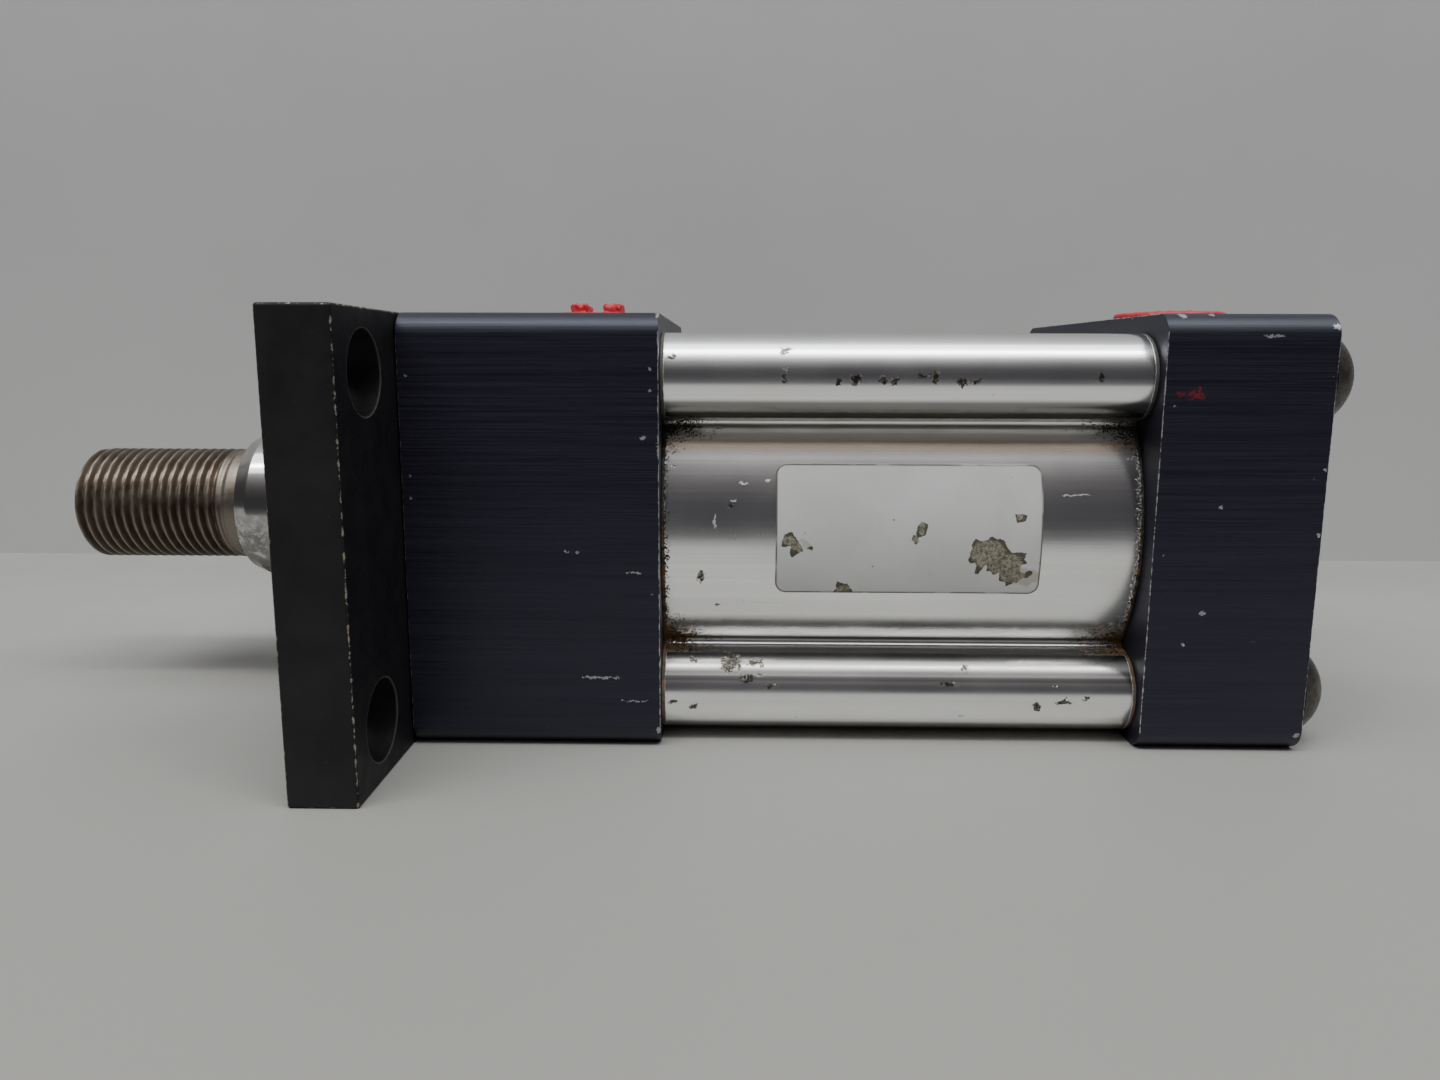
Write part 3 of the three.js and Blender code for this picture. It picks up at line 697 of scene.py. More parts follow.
def body_scars(look):
    """Scattered pits and nicks, chips with dark insides, a row of chips on the upper sleeve, scratches."""
    pits = look.patches((0.3, 0.42, 0.42), 0.12, 0.16, 0.09, 0.44, 0.62)
    fine = look.patches(1.3, 0.14, 0.1, 0.11, 0.5, 0.66)
    nicks = look.patches((1.1, 0.25, 0.22), 0.07, 0.12, 0.1, 0.45, 0.6)
    chips = spots(-28.0, 2.5, [(11.2, 12.0, 1.6, 1.0), (10.6, 11.4, 1.2, 0.6)])
    chips += spots(-28.4, 2.5, [(14.6, 11.9, 1.3, 0.5)])
    chips += spots(-28.1, 2.5, [(18.7, 58.2, 0.8, 0.5)])
    chips += spots(-28.0, 2.0, [
        (46.0, 11.4, 0.6, 0.3), (5.3, 12.3, 0.6, 0.3), (6.5, 25.1, 0.4, 0.9), (11.0, 36.1, 0.35, 0.45)])
    chips += spots(-29.0, 2.0, [
        (17.0, 8.9, 0.7, 0.3), (13.6, 9.9, 1.1, 0.5), (18.4, 54.6, 0.3, 1.3), (63.0, 54.8, 0.4, 0.9),
        (2.6, 57.3, 0.9, 0.3)])
    chips += spots(-29.8, 2.0, [
        (43.2, 9.4, 1.1, 0.35), (56.5, 6.2, 0.7, 0.6), (60.5, 6.9, 1.3, 0.3), (63.7, 7.3, 0.5, 0.3),
        (2.5, 6.5, 0.6, 0.3), (5.5, 5.8, 0.5, 0.4)])
    random = Random(4)
    for k in range(8):
        centre = (26.5 + 2.7 * k + random.uniform(-0.8, 0.8), -29.3, 54.4 + random.uniform(-0.6, 0.6))
        chips.append((centre, (random.uniform(0.4, 0.9), 2.0, random.uniform(0.4, 0.9))))
    scratches = spots(-27.5, 2.0, [
        (12.6, 39.1, 0.8, 0.14), (11.2, 36.6, 0.5, 0.16), (8.6, 33.6, 0.25, 1.2), (16.4, 39.4, 0.4, 0.2),
        (61.2, 37.6, 2.4, 0.12), (16.0, 21.0, 4.5, 0.07)])
    off_chip = look.off_spots(chips, 0.8, 1.3, 0.4)
    scratch = look.off_spots(scratches, 0.6, 1.1, 0.15).step(1.0, 0.8, 0.0, 0.8)
    scar = look.most(pits, fine * 0.7, nicks * 0.6, off_chip.step(1.05, 0.95))
    dirt = look.mix(look.noise(3.4, 4.0).step(0.46, 0.6), (0.03, 0.027, 0.021), (0.34, 0.32, 0.27))
    dirt = look.mix(off_chip.step(0.8, 0.6) * 0.7, dirt, (0.02, 0.018, 0.015))
    look.paint(scar * 0.95, dirt)
    look.paint(scratch, (0.93, 0.92, 0.9))
    return scar, scratch


def body_look():
    """Clear anodised aluminium, drawn along X, with films of oil, grime, scars and painted shade in its
    grooves.
    """
    look = BodyLook("clear anodised aluminium")
    lines = look.noise((0.012, 4.2, 4.2), 4.0, 0.7)
    broad = look.noise((0.008, 0.5, 0.5), 2.0)
    cloud = look.noise(0.06, 4.0, 0.6)
    look.colour = look.mix(lines.step(0.3, 0.7), (0.86, 0.855, 0.84), (0.95, 0.945, 0.935))
    look.paint(broad.step(0.4, 0.7, 0.0, 0.35), (0.78, 0.77, 0.755))
    look.paint(cloud.step(0.5, 0.75, 0.0, 0.3), (0.82, 0.80, 0.76))
    film = body_film(look)
    grime, darker_by_low_grooves = body_grime(look)
    scar, scratch = body_scars(look)
    look.relief(lines * 0.7 + broad * 0.6, 0.006)
    look.relief(-scar, 0.05)
    look.relief(grime * look.noise(3.0, 4.0), 0.08)
    dull = look.most(grime, scar * 0.5, scratch)
    rough = cloud.step(0.3, 0.8, 0.2, 0.27) + dull * 0.4 + look.most(film, darker_by_low_grooves) * 0.12
    return look.finish(Metallic=grime.step(0.0, 1.0, 1.0, 0.1), Roughness=rough)


def rod_look():
    """Chrome on the shaft, with mottled painted shade low down near the shoulder, and oily brown steel on
    the thread.
    """
    look = Look("chrome and oily thread", Metallic=1.0)
    up = look.z - AXIS_Z
    on_thread = look.x.step(SHOULDER_X + 0.1, SHOULDER_X - 0.1)
    smear = look.noise((0.25, 0.12, 0.12), 4.0, 0.6)
    turned = look.noise((6.0, 0.15, 0.15), 2.0)
    chrome = look.mix(smear.step(0.35, 0.7), (0.66, 0.655, 0.645), (0.54, 0.525, 0.49))
    # painted shade: mottled darkening of the shaft's lower side near the shoulder, for the shadow that it
    # mirrors
    painted_lower_shade = look.noise(0.7, 5.0, 0.7).step(0.28, 0.55) * up.step(3.0, -4.0)
    painted_lower_shade = painted_lower_shade * look.x.step(SHOULDER_X + 9, SHOULDER_X + 4) * 0.85
    chrome = look.mix(painted_lower_shade, chrome, (0.15, 0.145, 0.135))
    oil = look.noise(0.35, 4.0, 0.65)
    root = look.mix(oil, (0.12, 0.092, 0.068), (0.24, 0.195, 0.155))
    top = look.mix(oil, (0.155, 0.13, 0.105), (0.31, 0.275, 0.235))
    crest = look.hypot(look.y, up).step(THREAD_RADIUS - 0.475, THREAD_RADIUS - 0.025)
    crest = crest * oil.step(0.25, 0.6, 0.55, 1.0)
    plain = look.x.step(SHOULDER_X - 4.6, SHOULDER_X - 4.0)
    thread = look.mix(look.most(crest, plain), root, top)
    chrome = look.mix(look.dots((0.3, 0.5, 0.5), 0.12, 0.1) * 0.4, chrome, (0.2, 0.18, 0.15))
    rough_shaft = smear.step(0.3, 0.8, 0.1, 0.2) + painted_lower_shade * 0.2
    rough = oil.step(0.2, 0.8, 0.34, 0.56) * on_thread + rough_shaft * (1.0 - on_thread)
    look.colour = look.mix(on_thread, chrome, thread)
    look.relief(turned, 0.002)
    look.relief(look.noise(1.1, 4.0) * on_thread, 0.04)
    return look.finish(Roughness=rough)


def plate_look():
    """A blank white foil plate, worn through in places to a dark backing."""
    look = Look("blank plate", Metallic=0.0, Specular_IOR_Level=0.5)
    cloud = look.noise(0.12, 3.0, 0.6)
    look.colour = look.mix(cloud.step(0.3, 0.75), (0.63, 0.63, 0.62), (0.57, 0.57, 0.555))
    left, right, front = plate_low.x, plate_high.x, plate_low.y
    middle, half = (plate_low + plate_high) / 2, (plate_high - plate_low) / 2
    tears = spots(front, 3, [
        (left + 1.9, -1.5, 1.1, 0.8), (left + 3.0, -2.2, 1.2, 0.8), (left + 4.1, -2.9, 1.0, 0.6),
        (left + 10.1, 0.3 - half.z, 1.4, 1.1), (right - 17.6, 0.6, 0.5, 1.4),
        (right - 18.4, -1.9, 0.6, 1.3), (right - 3.4, 2.2, 0.5, 0.5), (right - 7.8, -3.4, 2.9, 2.3),
        (right - 5.2, -4.9, 2.8, 1.9), (right - 4.0, -6.6, 2.2, 1.3)], middle.z)
    torn = look.off_spots(tears, 0.35, 0.6, 1.15).step(1.1, 1.05)
    inner = look.off_spots(tears, 0.35, 0.6).step(1.0, 0.8)
    backing = look.noise(2.2, 4.0, 0.75).step(0.35, 0.65)
    backing = look.mix(backing, (0.10, 0.09, 0.055), (0.42, 0.40, 0.31))
    smear = spots(front, 4, [(right - 2.5, -6.8, 3.6, 1.6)], middle.z)
    smear = look.off_spots(smear, 1.5, 0.4).step(1.0, 0.6) * 0.55
    look.paint(smear, (0.30, 0.28, 0.18))
    look.paint(look.dots(0.7, 0.13, 0.13) * 0.8, (0.12, 0.11, 0.08))
    look.paint(torn, backing)
    look.paint((torn - inner * 0.75) * 0.85, (0.05, 0.045, 0.03))
    off = look.off_middle(middle)
    off = look.vector("SUBTRACT", off, half - Vector((PLATE_CORNER, 0, PLATE_CORNER)))
    off = look.vector("MULTIPLY", look.vector("MAXIMUM", off), (1, 0, 1))
    border = PLATE_CORNER - look.length(off)
    outline = border.step(0.32, 0.12) * look.noise(0.25, 2.0).step(0.3, 0.5, 0.35, 0.9)
    look.paint(outline, (0.075, 0.068, 0.05))
    look.relief(-torn, 0.08)
    look.relief(look.noise(1.4, 3.0), 0.012)
    return look.finish(Roughness=torn * 0.3 + 0.36)


def plain_look(name, dark, light, metallic, rough, frequency=0.4, relief=0.02, grain=2.0):
    """A material of two close colours in clouds, with a grain in its surface."""
    look = Look(name, Metallic=metallic)
    cloud = look.noise(frequency, 4.0, 0.6)
    fine = look.noise(grain, 3.0, 0.6)
    look.colour = look.mix(cloud.step(0.3, 0.7), dark, light)
    look.relief(fine, relief)
    return look.finish(Roughness=fine.step(0.3, 0.7, *rough))


flange_steel = flange_look()
head_black = head_look()
cap_black = cap_look()
body_silver = body_look()
rod_chrome = rod_look()
screw_black = plain_look(
    "oily black screw", (0.018, 0.016, 0.013), (0.07, 0.06, 0.046), 0.5, (0.28, 0.5), 0.6, 0.03)
bronze = plain_look("bronze", (0.30, 0.19, 0.08), (0.45, 0.31, 0.15), 1.0, (0.3, 0.42), 0.3, 0.01, 4.0)
rubber = plain_look(
    "black rubber", (0.010, 0.010, 0.009), (0.022, 0.020, 0.018), 0.0, (0.55, 0.75), 0.5, 0.03)
nut_steel = plain_look("plain steel", (0.22, 0.21, 0.19), (0.38, 0.36, 0.33), 1.0, (0.32, 0.48), 0.5)
piston_silver = plain_look(
    "machined aluminium", (0.55, 0.55, 0.54), (0.72, 0.72, 0.70), 1.0, (0.3, 0.42), 0.3, 0.01)
wear_plastic = plain_look(
    "wear ring plastic", (0.55, 0.48, 0.33), (0.66, 0.60, 0.44), 0.0, (0.5, 0.65), 0.4, 0.01)
red_plastic = plain_look(
    "red plastic", (0.40, 0.012, 0.025), (0.62, 0.035, 0.055), 0.0, (0.38, 0.6), 0.7, 0.05, 1.5)
plate_foil = plate_look()


# ---- flange, head, cap and body ----
def shank_holes(from_x, to_x):
    hole = bar(from_x, to_x, SHANK_RADIUS + GAP)
    return [moved(hole, 0, y, z) for y, z in SCREWS]


def mounting_flange():
    low, high = flange_low.x, flange_high.x
    width, rim = flange_high.y - flange_low.y, FLANGE_HOLE_RIM
    plate = made("flange", prism(rectangle(width, 2 * END_HALF, 0.45, 3), low, high, 0.35))
    radius = FLANGE_HOLE_RADIUS
    hole = lathe([(low - PAST, 0), (low - PAST, radius + rim + PAST), (low + rim, radius),
                  (high - rim, radius), (high + PAST, radius + rim + PAST), (high + PAST, 0)], 64)
    holes = [moved(hole, 0, y * FLANGE_HOLE_Y, z * FLANGE_HOLE_Z) for y, z in CORNERS]
    deep = low + COUNTERBORE_DEPTH
    bore = lathe([(low - PAST, 0), (low - PAST, COUNTERBORE_RADIUS + 0.4 + PAST),
                  (low + 0.4, COUNTERBORE_RADIUS), (deep, COUNTERBORE_RADIUS), (deep, 0)], 64)
    bores = [moved(bore, 0, y, z) for y, z in SCREWS]
    pilot = bar(low - PAST, high + PAST, PILOT_RADIUS + GAP, 128)
    cut(plate, pilot, *holes, *bores, *shank_holes(low, high + PAST))
    return piece(plate, "barrel", "flange_steel", flange_steel, "mounting_flange")


def port_shape(x):
    """The threaded port as a cutting shape, from its drilled bottom to past the top face."""
    top = END_HALF
    profile = [(top - PORT_DEPTH, 0), (top - PORT_DEPTH, PORT_RADIUS)]
    height = top - PORT_DEPTH + 1.5
    while height < top - 2.2:
        profile += [(height, PORT_RADIUS + 0.05), (height + PORT_THREAD_PITCH / 2, PORT_RADIUS + 0.65)]
        height += PORT_THREAD_PITCH
    profile += [(top - 1.0, PORT_RADIUS + 0.1), (top, PORT_MOUTH_RADIUS)]
    profile += [(top + PAST, PORT_MOUTH_RADIUS + PAST), (top + PAST, 0)]
    return upright(lathe(profile), x)


def end_block(name, front, back, spigot_base, spigot_end):
    """A square block with a round spigot that reaches into the tube."""
    square = rectangle(2 * END_HALF, 2 * END_HALF, END_EDGE_RADIUS, 10)
    block = made(name, prism(square, front, back, END_EDGE))
    spigot = rounded([
        (spigot_base, 0), (spigot_base, SPIGOT_RADIUS), (spigot_end, SPIGOT_RADIUS, 0.6), (spigot_end, 0)])
    return joined(block, lathe(spigot, 128))


def airway(from_radius, x):
    """A cutting shape for the drilling from the bore up to a port's bottom."""
    return upright(bar(from_radius, END_HALF - PORT_DEPTH + PAST, AIRWAY_RADIUS), x)


def front_head():
    block = end_block("head", HEAD_FRONT, HEAD_BACK, HEAD_BACK - SPIGOT_ROOT, head_high.x)
    gland_end = HEAD_FRONT + GLAND_DEPTH
    cut(block, bar(HEAD_FRONT - PAST, HEAD_FRONT + COLLAR_LENGTH + 2 * GAP, COLLAR_RADIUS + GAP),
        bar(HEAD_FRONT, gland_end, GLAND_RADIUS + GAP),
        bar(gland_end - PAST, head_high.x + PAST, CHAMBER_RADIUS),
        port_shape(FRONT_PORT_X), airway(CHAMBER_RADIUS - PAST, HEAD_FRONT + HEAD_AIRWAY_DEPTH),
        *shank_holes(HEAD_FRONT - PAST, HEAD_BACK + PAST))
    return piece(block, "barrel", "end_block_anodised", head_black, "front_head")


def rear_cap():
    block = end_block("cap", CAP_FRONT, CAP_BACK, CAP_FRONT + SPIGOT_ROOT, cap_low.x)
    recess_end = CAP_FRONT + CAP_RECESS_DEPTH
    airway_x = REAR_PORT_X - CAP_AIRWAY_SHIFT
    cut(block, bar(cap_low.x - PAST, recess_end, CAP_RECESS_RADIUS),
        bar(recess_end - PAST, airway_x, CAP_DRILL_RADIUS),
        port_shape(REAR_PORT_X), airway(0, airway_x), *shank_holes(CAP_FRONT - PAST, CAP_BACK + PAST))
    return piece(block, "barrel", "end_block_anodised", cap_black, "rear_cap")


def body_extrusion():
    front, back = HEAD_BACK + BODY_SEAM, CAP_FRONT - BODY_SEAM
    tube = made("body", prism(body_outline, front, back, END_EDGE, 2))
    cut(tube, bar(front - PAST, back + PAST, BORE_RADIUS, 160), *shank_holes(front - PAST, back + PAST))
    return piece(tube, "barrel", "body_anodised", body_silver, "body_extrusion", angle=24)


# ---- screws ----
def shank_profile(from_x, to_x, sign):
    """The shank from its plain end to its threaded end, whose last stretch has ridges."""
    radius = SHANK_RADIUS
    pitch = SHANK_PITCH * sign
    start = to_x - pitch * (SHANK_RIDGES + 1)
    profile = [(from_x, radius)]
    for k in range(SHANK_RIDGES):
        profile += [(start + k * pitch, radius), (start + (k + 0.5) * pitch, radius - 0.7)]
    return profile + [(to_x - sign * 0.8, radius), (to_x, radius - 0.8), (to_x, 0)]


def dome_screw(number, y, z):
    end, top = (corner.x for corner in span(f"rear_screw_{number}"))
    seat = top - DOME_HEIGHT
    centre = (DOME_FLAT**2 + DOME_HEIGHT**2 - DOME_RADIUS**2) / (2 * DOME_HEIGHT)
    sphere = math.hypot(DOME_RADIUS, centre)
    start, stop = math.asin(DOME_RADIUS / sphere), math.asin(DOME_FLAT / sphere)
    dome = [(seat, DOME_RADIUS - 0.25), (seat + 0.1, DOME_RADIUS)]
    for k in range(1, 15):
        angle = start + (stop - start) * k / 14
        dome.append((seat + centre + sphere * math.cos(angle), sphere * math.sin(angle)))
    profile = dome[::-1] + shank_profile(seat, end, -1)
    screw = made(f"dome_screw_{number}", moved(lathe([(top, 0)] + profile, 72), 0, y, z))
    cut(screw, *[moved(tool, 0, y, z) for tool in hex_socket(top, 1)])
    return piece(screw, "barrel", "screw_steel", screw_black, f"rear_screw_{number}")


def low_head_screw(number, y, z):
    low, high = (corner.x for corner in span(f"front_screw_{number}"))
    seat = low + LOW_HEAD_HEIGHT
    profile = rounded([
        (low, 0), (low, LOW_HEAD_RADIUS, 0.5), (seat, LOW_HEAD_RADIUS, 0.2), (seat, SHANK_RADIUS)])
    profile += shank_profile(seat + 0.5, high, 1)
    screw = made(f"low_head_screw_{number}", moved(lathe(profile, 72), 0, y, z))
    cut(screw, *[moved(tool, 0, y, z) for tool in hex_socket(low, -1)])
    return piece(screw, "barrel", "screw_steel", screw_black, f"front_screw_{number}")


# ---- rod, its bushing and its wiper ----
def rod_bushing():
    front, back = bushing_low.x, bushing_high.x
    seat = HEAD_FRONT + GAP
    wiper_seat = front + WIPER_DEPTH
    inner, wiper_radius = ROD_RADIUS + GAP, WIPER_RADIUS + GAP
    profile = rounded([
        (wiper_seat, inner), (wiper_seat, wiper_radius), (front, wiper_radius, 0.25),
        (front, PILOT_RADIUS, 0.7), (seat, PILOT_RADIUS), (seat, COLLAR_RADIUS, 0.3),
        (seat + COLLAR_LENGTH, COLLAR_RADIUS, 0.5), (seat + COLLAR_LENGTH, GLAND_RADIUS),
        (back, GLAND_RADIUS, 0.6), (back, inner)])
    ring = made("bushing", lathe(profile, 128, closed=True))
    return piece(ring, "barrel", "bushing_bronze", bronze, "rod_bushing")


def rod_wiper():
    low, high = span("rod_wiper")
    inner, outer, face = ROD_RADIUS + GAP, WIPER_RADIUS, bushing_low.x
    profile = rounded([
        (high.x, inner), (high.x, outer), (face, outer, 0.5), (face, inner + 1.4, 0.3),
        (low.x, inner + 0.5, 0.15), (low.x, inner)], 5)
    ring = made("wiper", lathe(profile, 128, closed=True))
    return piece(ring, "barrel", "seal_rubber", rubber, "rod_wiper")


def thread_radius(x, angle):
    """The rod's radius on its thread, a right-hand helix that runs out before the shoulder.

    A ridge is 0.58 of the pitch high, with a flat top and flanks that are eased a little."""
    turn = (x - rod_low.x) / THREAD_PITCH - angle / math.tau
    off = abs(turn - round(turn))
    height = min(max((0.40 - off) / 0.32, 0.0), 1.0)
    height += 0.35 * (height * height * (3 - 2 * height) - height)
    last = rod_low.x + (THREAD_CRESTS + 0.5) * THREAD_PITCH
    depth = 0.58 * THREAD_PITCH * min(max((last - x) / (2 * THREAD_PITCH), 0.0), 1.0)
    return min(THREAD_RADIUS - depth * (1 - height), THREAD_RADIUS - THREAD_TIP_CHAMFER + x - rod_low.x)


def piston_rod():
    length = THREAD_LENGTH - 1.0
    rows = round(length / THREAD_PITCH * THREAD_ROWS)
    profile = [(rod_low.x, 0)]
    for x in (rod_low.x + length * k / rows for k in range(rows + 1)):
        profile.append((x, partial(thread_radius, x)))
    profile += rounded([
        (SHOULDER_X, THREAD_RADIUS, 0.35), (SHOULDER_X, ROD_RADIUS - 1.1, 0.3),
        (SHOULDER_X + 2.5, ROD_RADIUS, 1.2), (piston_low.x - GAP, ROD_RADIUS, 0.3),
        (piston_low.x - GAP, ROD_SEAT_RADIUS), (piston_high.x, ROD_SEAT_RADIUS, 0.2),
        (piston_high.x, ROD_STUD_RADIUS), (rod_high.x, ROD_STUD_RADIUS, 0.8), (rod_high.x, 0)])
    rod = made("rod", lathe(profile, 144))
    return piece(rod, "rod_assembly", "rod_chrome", rod_chrome, "piston_rod", angle=40)


# ---- port plugs and rating plate ----
def ragged(target, amount, scale, above, lean):
    """Roughens a plug's torn top: all the surface a little, and what is above a height much more.

    The top leans too: it rises by the lean, in millimetres for each millimetre along X."""
    built = bmesh.new()
    built.from_mesh(target.data)
    built.normal_update()
    middle = sum(vertex.co.x for vertex in built.verts) / len(built.verts) / MM
    for vertex in built.verts:
        place = vertex.co / MM
        torn = min(max((place.z - above) / 0.8, 0.0), 1.0)
        push = noise.noise(place * scale) * amount * (0.08 + torn)
        vertex.co += vertex.normal * push * MM
        vertex.co.z -= max(noise.noise(place * 0.9 + Vector((3, 7, 1))), 0.0) * torn * 0.9 * MM
        vertex.co.z += lean * (place.x - middle) * torn * MM
    built.to_mesh(target.data)
    built.free()


def port_plug(name, node, body, x, rim_height, boss_height, slot_turn, torn_below, lean):
    """A flanged plastic plug with a slotted boss, torn from a little below or above its rim's top face."""
    top_face = END_HALF
    stem_end = top_face - PLUG_STEM
    outer = PORT_RADIUS - GAP
    tip = outer - 0.4
    inner = tip - PLUG_WALL
    rim_low, rim_top = top_face - 0.8, top_face + rim_height
    cup = rounded([
        (rim_low, 0), (rim_low, inner, 0.3), (stem_end, inner, 0.2), (stem_end, tip, 0.3), (rim_low, outer),
        (rim_low, PLUG_RIM_RADIUS, 0.3), (rim_top, PLUG_RIM_RADIUS, 0.6), (rim_top, 0)])
    plug = made(name, upright(lathe(cup), x))
    crown, root = rim_top + boss_height, rim_top - 0.6
    boss = rounded([(root, 0), (root, PLUG_BOSS_RADIUS), (crown, PLUG_BOSS_RADIUS, 0.25), (crown, 0)])
    joined(plug, upright(lathe(boss, 64), x))
    half, long, floor = PLUG_SLOT_HALF_WIDTH, PLUG_SLOT_REACH, rim_top + 0.05
    cos, sin = math.cos(slot_turn), math.sin(slot_turn)
    ends = [(-half, -long), (half, -long), (half, long), (-half, long)]
    box = [(x + a * cos - b * sin, a * sin + b * cos, c) for c in (floor, crown + 2) for a, b in ends]
    sides = [[0, 1, 2, 3], [4, 5, 6, 7]] + [[k, (k + 1) % 4, (k + 1) % 4 + 4, k + 4] for k in range(4)]
    cut(plug, (box, sides))
    remesh = plug.modifiers.new("even", "REMESH")
    remesh.mode = "VOXEL"
    remesh.voxel_size = 0.22 * MM
    smooth = plug.modifiers.new("soft", "SMOOTH")
    smooth.iterations = 3
    applied(plug)
    ragged(plug, 0.45, 0.8, AXIS_Z + rim_top - torn_below, lean)
    return piece(plug, body, "plug_plastic", red_plastic, node, angle=70)


def rating_plate():
    """A thin plate with round corners that follows the tube, a little raised at one corner."""
    left, right = plate_low.x, plate_high.x
    low, high = plate_low.z - AXIS_Z, plate_high.z - AXIS_Z
    columns, rows, corner = 64, 32, PLATE_CORNER
    inner, outer = TUBE_RADIUS + 0.03, TUBE_RADIUS + 0.3
    middle, half = (low + high) / 2, (high - low) / 2
    vertices = []
    for column in range(columns + 1):
        x = left + (right - left) * (1 - math.cos(math.pi * column / columns)) / 2
        from_end = min(x - left, right - x)
        short = corner - math.sqrt(max(corner**2 - max(corner - from_end, 0.0) ** 2, 0.0))
        heights = [middle + (half - short) * (2 * row / rows - 1) for row in range(rows + 1)]
        for z in heights:
            rise = 0.16 * max(0.0, 1 - math.hypot(right - x, z - low) / 5)
            vertices.append((x, -math.sqrt((outer + rise) ** 2 - (z + BODY_DROP) ** 2), z))
        for z in reversed(heights):
            vertices.append((x, -math.sqrt(inner**2 - (z + BODY_DROP) ** 2), z))
    count = 2 * rows + 2
    faces = strips(columns + 1, count)
    for first in (0, columns * count):
        for row in range(rows):
            a, b = first + row, first + count - 1 - row
            faces.append([a, a + 1, b - 1, b])
    plate = made("plate", (vertices, faces))
    return piece(plate, "barrel", "plate_foil", plate_foil, "rating_plate", angle=45)


mounting_flange()
front_head()
rear_cap()
body_extrusion()
for screw_number, (screw_y, screw_z) in enumerate(SCREWS, 1):
    dome_screw(screw_number, screw_y, screw_z)
    low_head_screw(screw_number, screw_y, screw_z)
rod_bushing()
rod_wiper()
piston_rod()
port_plug("front_plug_cap", "port_plug_front", "front_plug", FRONT_PORT_X,
          rim_height=1.1, boss_height=1.6, slot_turn=0.0, torn_below=-0.15, lean=0.0)
port_plug("rear_plug_cap", "port_plug_rear", "rear_plug", REAR_PORT_X,
          rim_height=1.45, boss_height=0.25, slot_turn=math.pi / 3, torn_below=0.1, lean=0.035)
rating_plate()

# ---- inner pieces that keep their CAD shape ----
INNER = {
    "piston": piston_silver, "piston_nut": nut_steel, "piston_wear_ring": wear_plastic,
    "rod_seal": rubber, "bushing_o_ring": rubber, "front_tube_o_ring": rubber, "rear_tube_o_ring": rubber,
    "piston_o_ring": rubber, "piston_seal_front": rubber, "piston_seal_rear": rubber,
}
for node_name, inner_look in INNER.items():
    for material_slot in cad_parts[node_name].material_slots:
        material_slot.material = inner_look

# ---- floor, backdrop, lights and camera ----
STAGE_REACH = 1.6
WALL_Y = 0.108
WALL_HEIGHT = 0.45
FLOOR_FRONT = -0.6
SHADE_Y = -165.0  # millimetres; nearer the camera, what the object mirrors is dark


def stage_plane(name, corners, look):
    mesh = bpy.data.meshes.new(name)
    mesh.from_pydata(corners, [], [(0, 1, 2, 3)])
    plane = linked(name, mesh)
    plane.data.materials.append(look)


def pale_look(name, dark, light):
    look = Look(name, Specular_IOR_Level=0.3)
    cloud = look.noise(0.02, 5.0, 0.6)
    look.colour = look.mix(cloud.step(0.3, 0.7), dark, light)
    return look


def floor():
    """A pale floor, with painted shade that makes it darker towards the camera. What the object mirrors of
    it is dark beyond SHADE_Y.
    """
    look = pale_look("pale floor", (0.37, 0.366, 0.345), (0.41, 0.405, 0.385))
    seen = look.camera_ray()
    # painted shade: darker towards the camera, for camera rays only
    look.paint(look.y.step(60.0, -110.0) * seen, (0.29, 0.285, 0.265))
    look.paint(look.y.step(SHADE_Y + 12, SHADE_Y - 12) * (1.0 - seen), (0.05, 0.05, 0.052))
    reach, near = STAGE_REACH, FLOOR_FRONT
    corners = [(-reach, near, 0), (reach, near, 0), (reach, reach, 0), (-reach, reach, 0)]
    stage_plane("floor", corners, look.finish(Roughness=0.5))


def wall():
    """A pale wall that can't be seen from behind."""
    look = pale_look("pale wall", (0.44, 0.44, 0.435), (0.455, 0.455, 0.45))
    # painted light: the wall is lighter towards its bottom
    look.paint(look.z.step(110.0, -10.0), (0.53, 0.53, 0.52))
    look.finish(Roughness=0.7)
    clear = look.add("BsdfTransparent").outputs[0]
    behind = look.add("NewGeometry").outputs["Backfacing"]
    shown = look.add("MixShader", {0: behind, 1: look.shader.outputs[0], 2: clear})
    look.set(look.tree.nodes["Material Output"].inputs["Surface"], shown.outputs[0])
    reach, top = STAGE_REACH, WALL_HEIGHT
    corners = [(-reach, WALL_Y, 0), (reach, WALL_Y, 0), (reach, WALL_Y, top), (-reach, WALL_Y, top)]
    stage_plane("wall", corners, look.material)


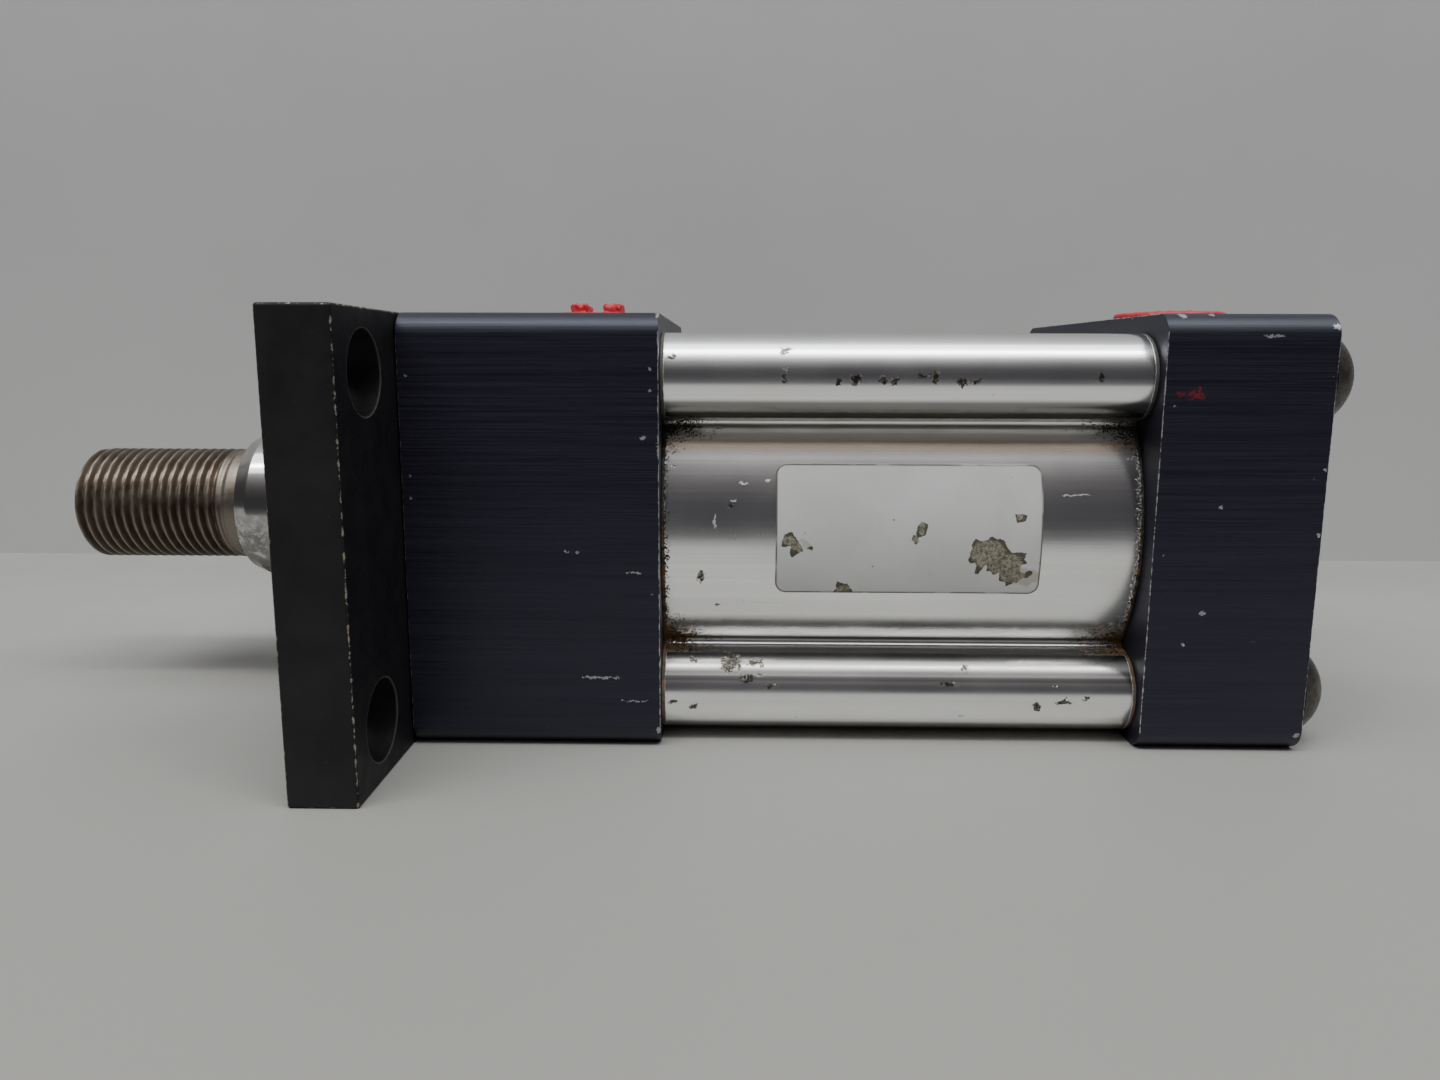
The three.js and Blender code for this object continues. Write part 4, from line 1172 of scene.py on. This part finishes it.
def studio_world():
    """A pale backdrop for the camera. For light and gloss, a sky that is dark low down in front."""
    world = bpy.data.worlds.new("studio")
    bpy.context.scene.world = world
    world.use_nodes = True
    nodes = Nodes(world.node_tree)
    _, ahead, up = nodes.split(nodes.add("TexCoord").outputs["Generated"])
    level = nodes.math("ARCSINE", up) / math.pi + 0.5

    def ramp(*stops):
        """Colours by height in the sky. A stop is its degrees above the horizon and its colour."""
        node = nodes.add("ValToRGB", {0: level})
        elements = node.color_ramp.elements
        elements.remove(elements[1])
        for number, (degrees, colour) in enumerate(stops):
            place = degrees / 180 + 0.5
            element = elements.new(place) if number else elements[0]
            element.position = place
            element.color = (*colour, 1)
        return node.outputs["Color"]

    front = ramp((-20, (0.05, 0.05, 0.054)), (14, (0.055, 0.053, 0.06)), (22, (0.08, 0.074, 0.077)),
                 (30, (0.13, 0.122, 0.127)), (38, (0.24, 0.232, 0.232)), (46, (0.48, 0.48, 0.48)),
                 (60, (0.7, 0.72, 0.75)), (90, (0.85, 0.9, 0.98)))
    back = ramp((-20, (0.3, 0.3, 0.3)), (30, (0.35, 0.35, 0.35)), (90, (0.85, 0.9, 0.98)))
    sky = nodes.mix((ahead + 0.1) / 0.35, front, back)
    shown = nodes.mix(nodes.camera_ray(), sky, (0.34, 0.34, 0.337))
    nodes.set(nodes.tree.nodes["Background"].inputs["Color"], shown)


def area_light(name, place, target, size, watts, colour):
    data = bpy.data.lights.new(name, "AREA")
    data.shape = "RECTANGLE"
    data.size, data.size_y = size
    data.energy = watts
    data.color = colour
    light = linked(name, data)
    light.location = place
    light.rotation_euler = (Vector(target) - Vector(place)).to_track_quat("-Z", "Y").to_euler()


def camera():
    """The photograph's view: a wide lens close to the object, a little above it, looking slightly down."""
    place, yaw, pitch, roll = Vector((0.01103, -0.16605, 0.05669)), -0.0165, 0.1533, 0.0026
    ahead = Vector((math.sin(yaw) * math.cos(pitch), math.cos(yaw) * math.cos(pitch), -math.sin(pitch)))
    right = Vector((math.cos(yaw), -math.sin(yaw), 0))
    up = right.cross(ahead)
    across = math.cos(roll) * right + math.sin(roll) * up
    upward = math.cos(roll) * up - math.sin(roll) * right
    data = bpy.data.cameras.new("camera")
    data.lens = 23.83
    data.shift_x, data.shift_y = 0.0028, -0.0217
    data.clip_start = 0.01
    held = linked("camera", data)
    held.matrix_world = Matrix.Translation(place) @ Matrix((across, upward, -ahead)).transposed().to_4x4()
    bpy.context.scene.camera = held


floor()
wall()
studio_world()
area_light("ceiling", (0, -0.2, 0.62), (0, -0.2, 0), (1.1, 0.42), 3.4, (0.96, 0.98, 1.0))
area_light("strip", (0, -0.24, 0.61), (0, -0.24, 0), (1.0, 0.07), 3.0, (1.0, 1.0, 0.99))
camera()
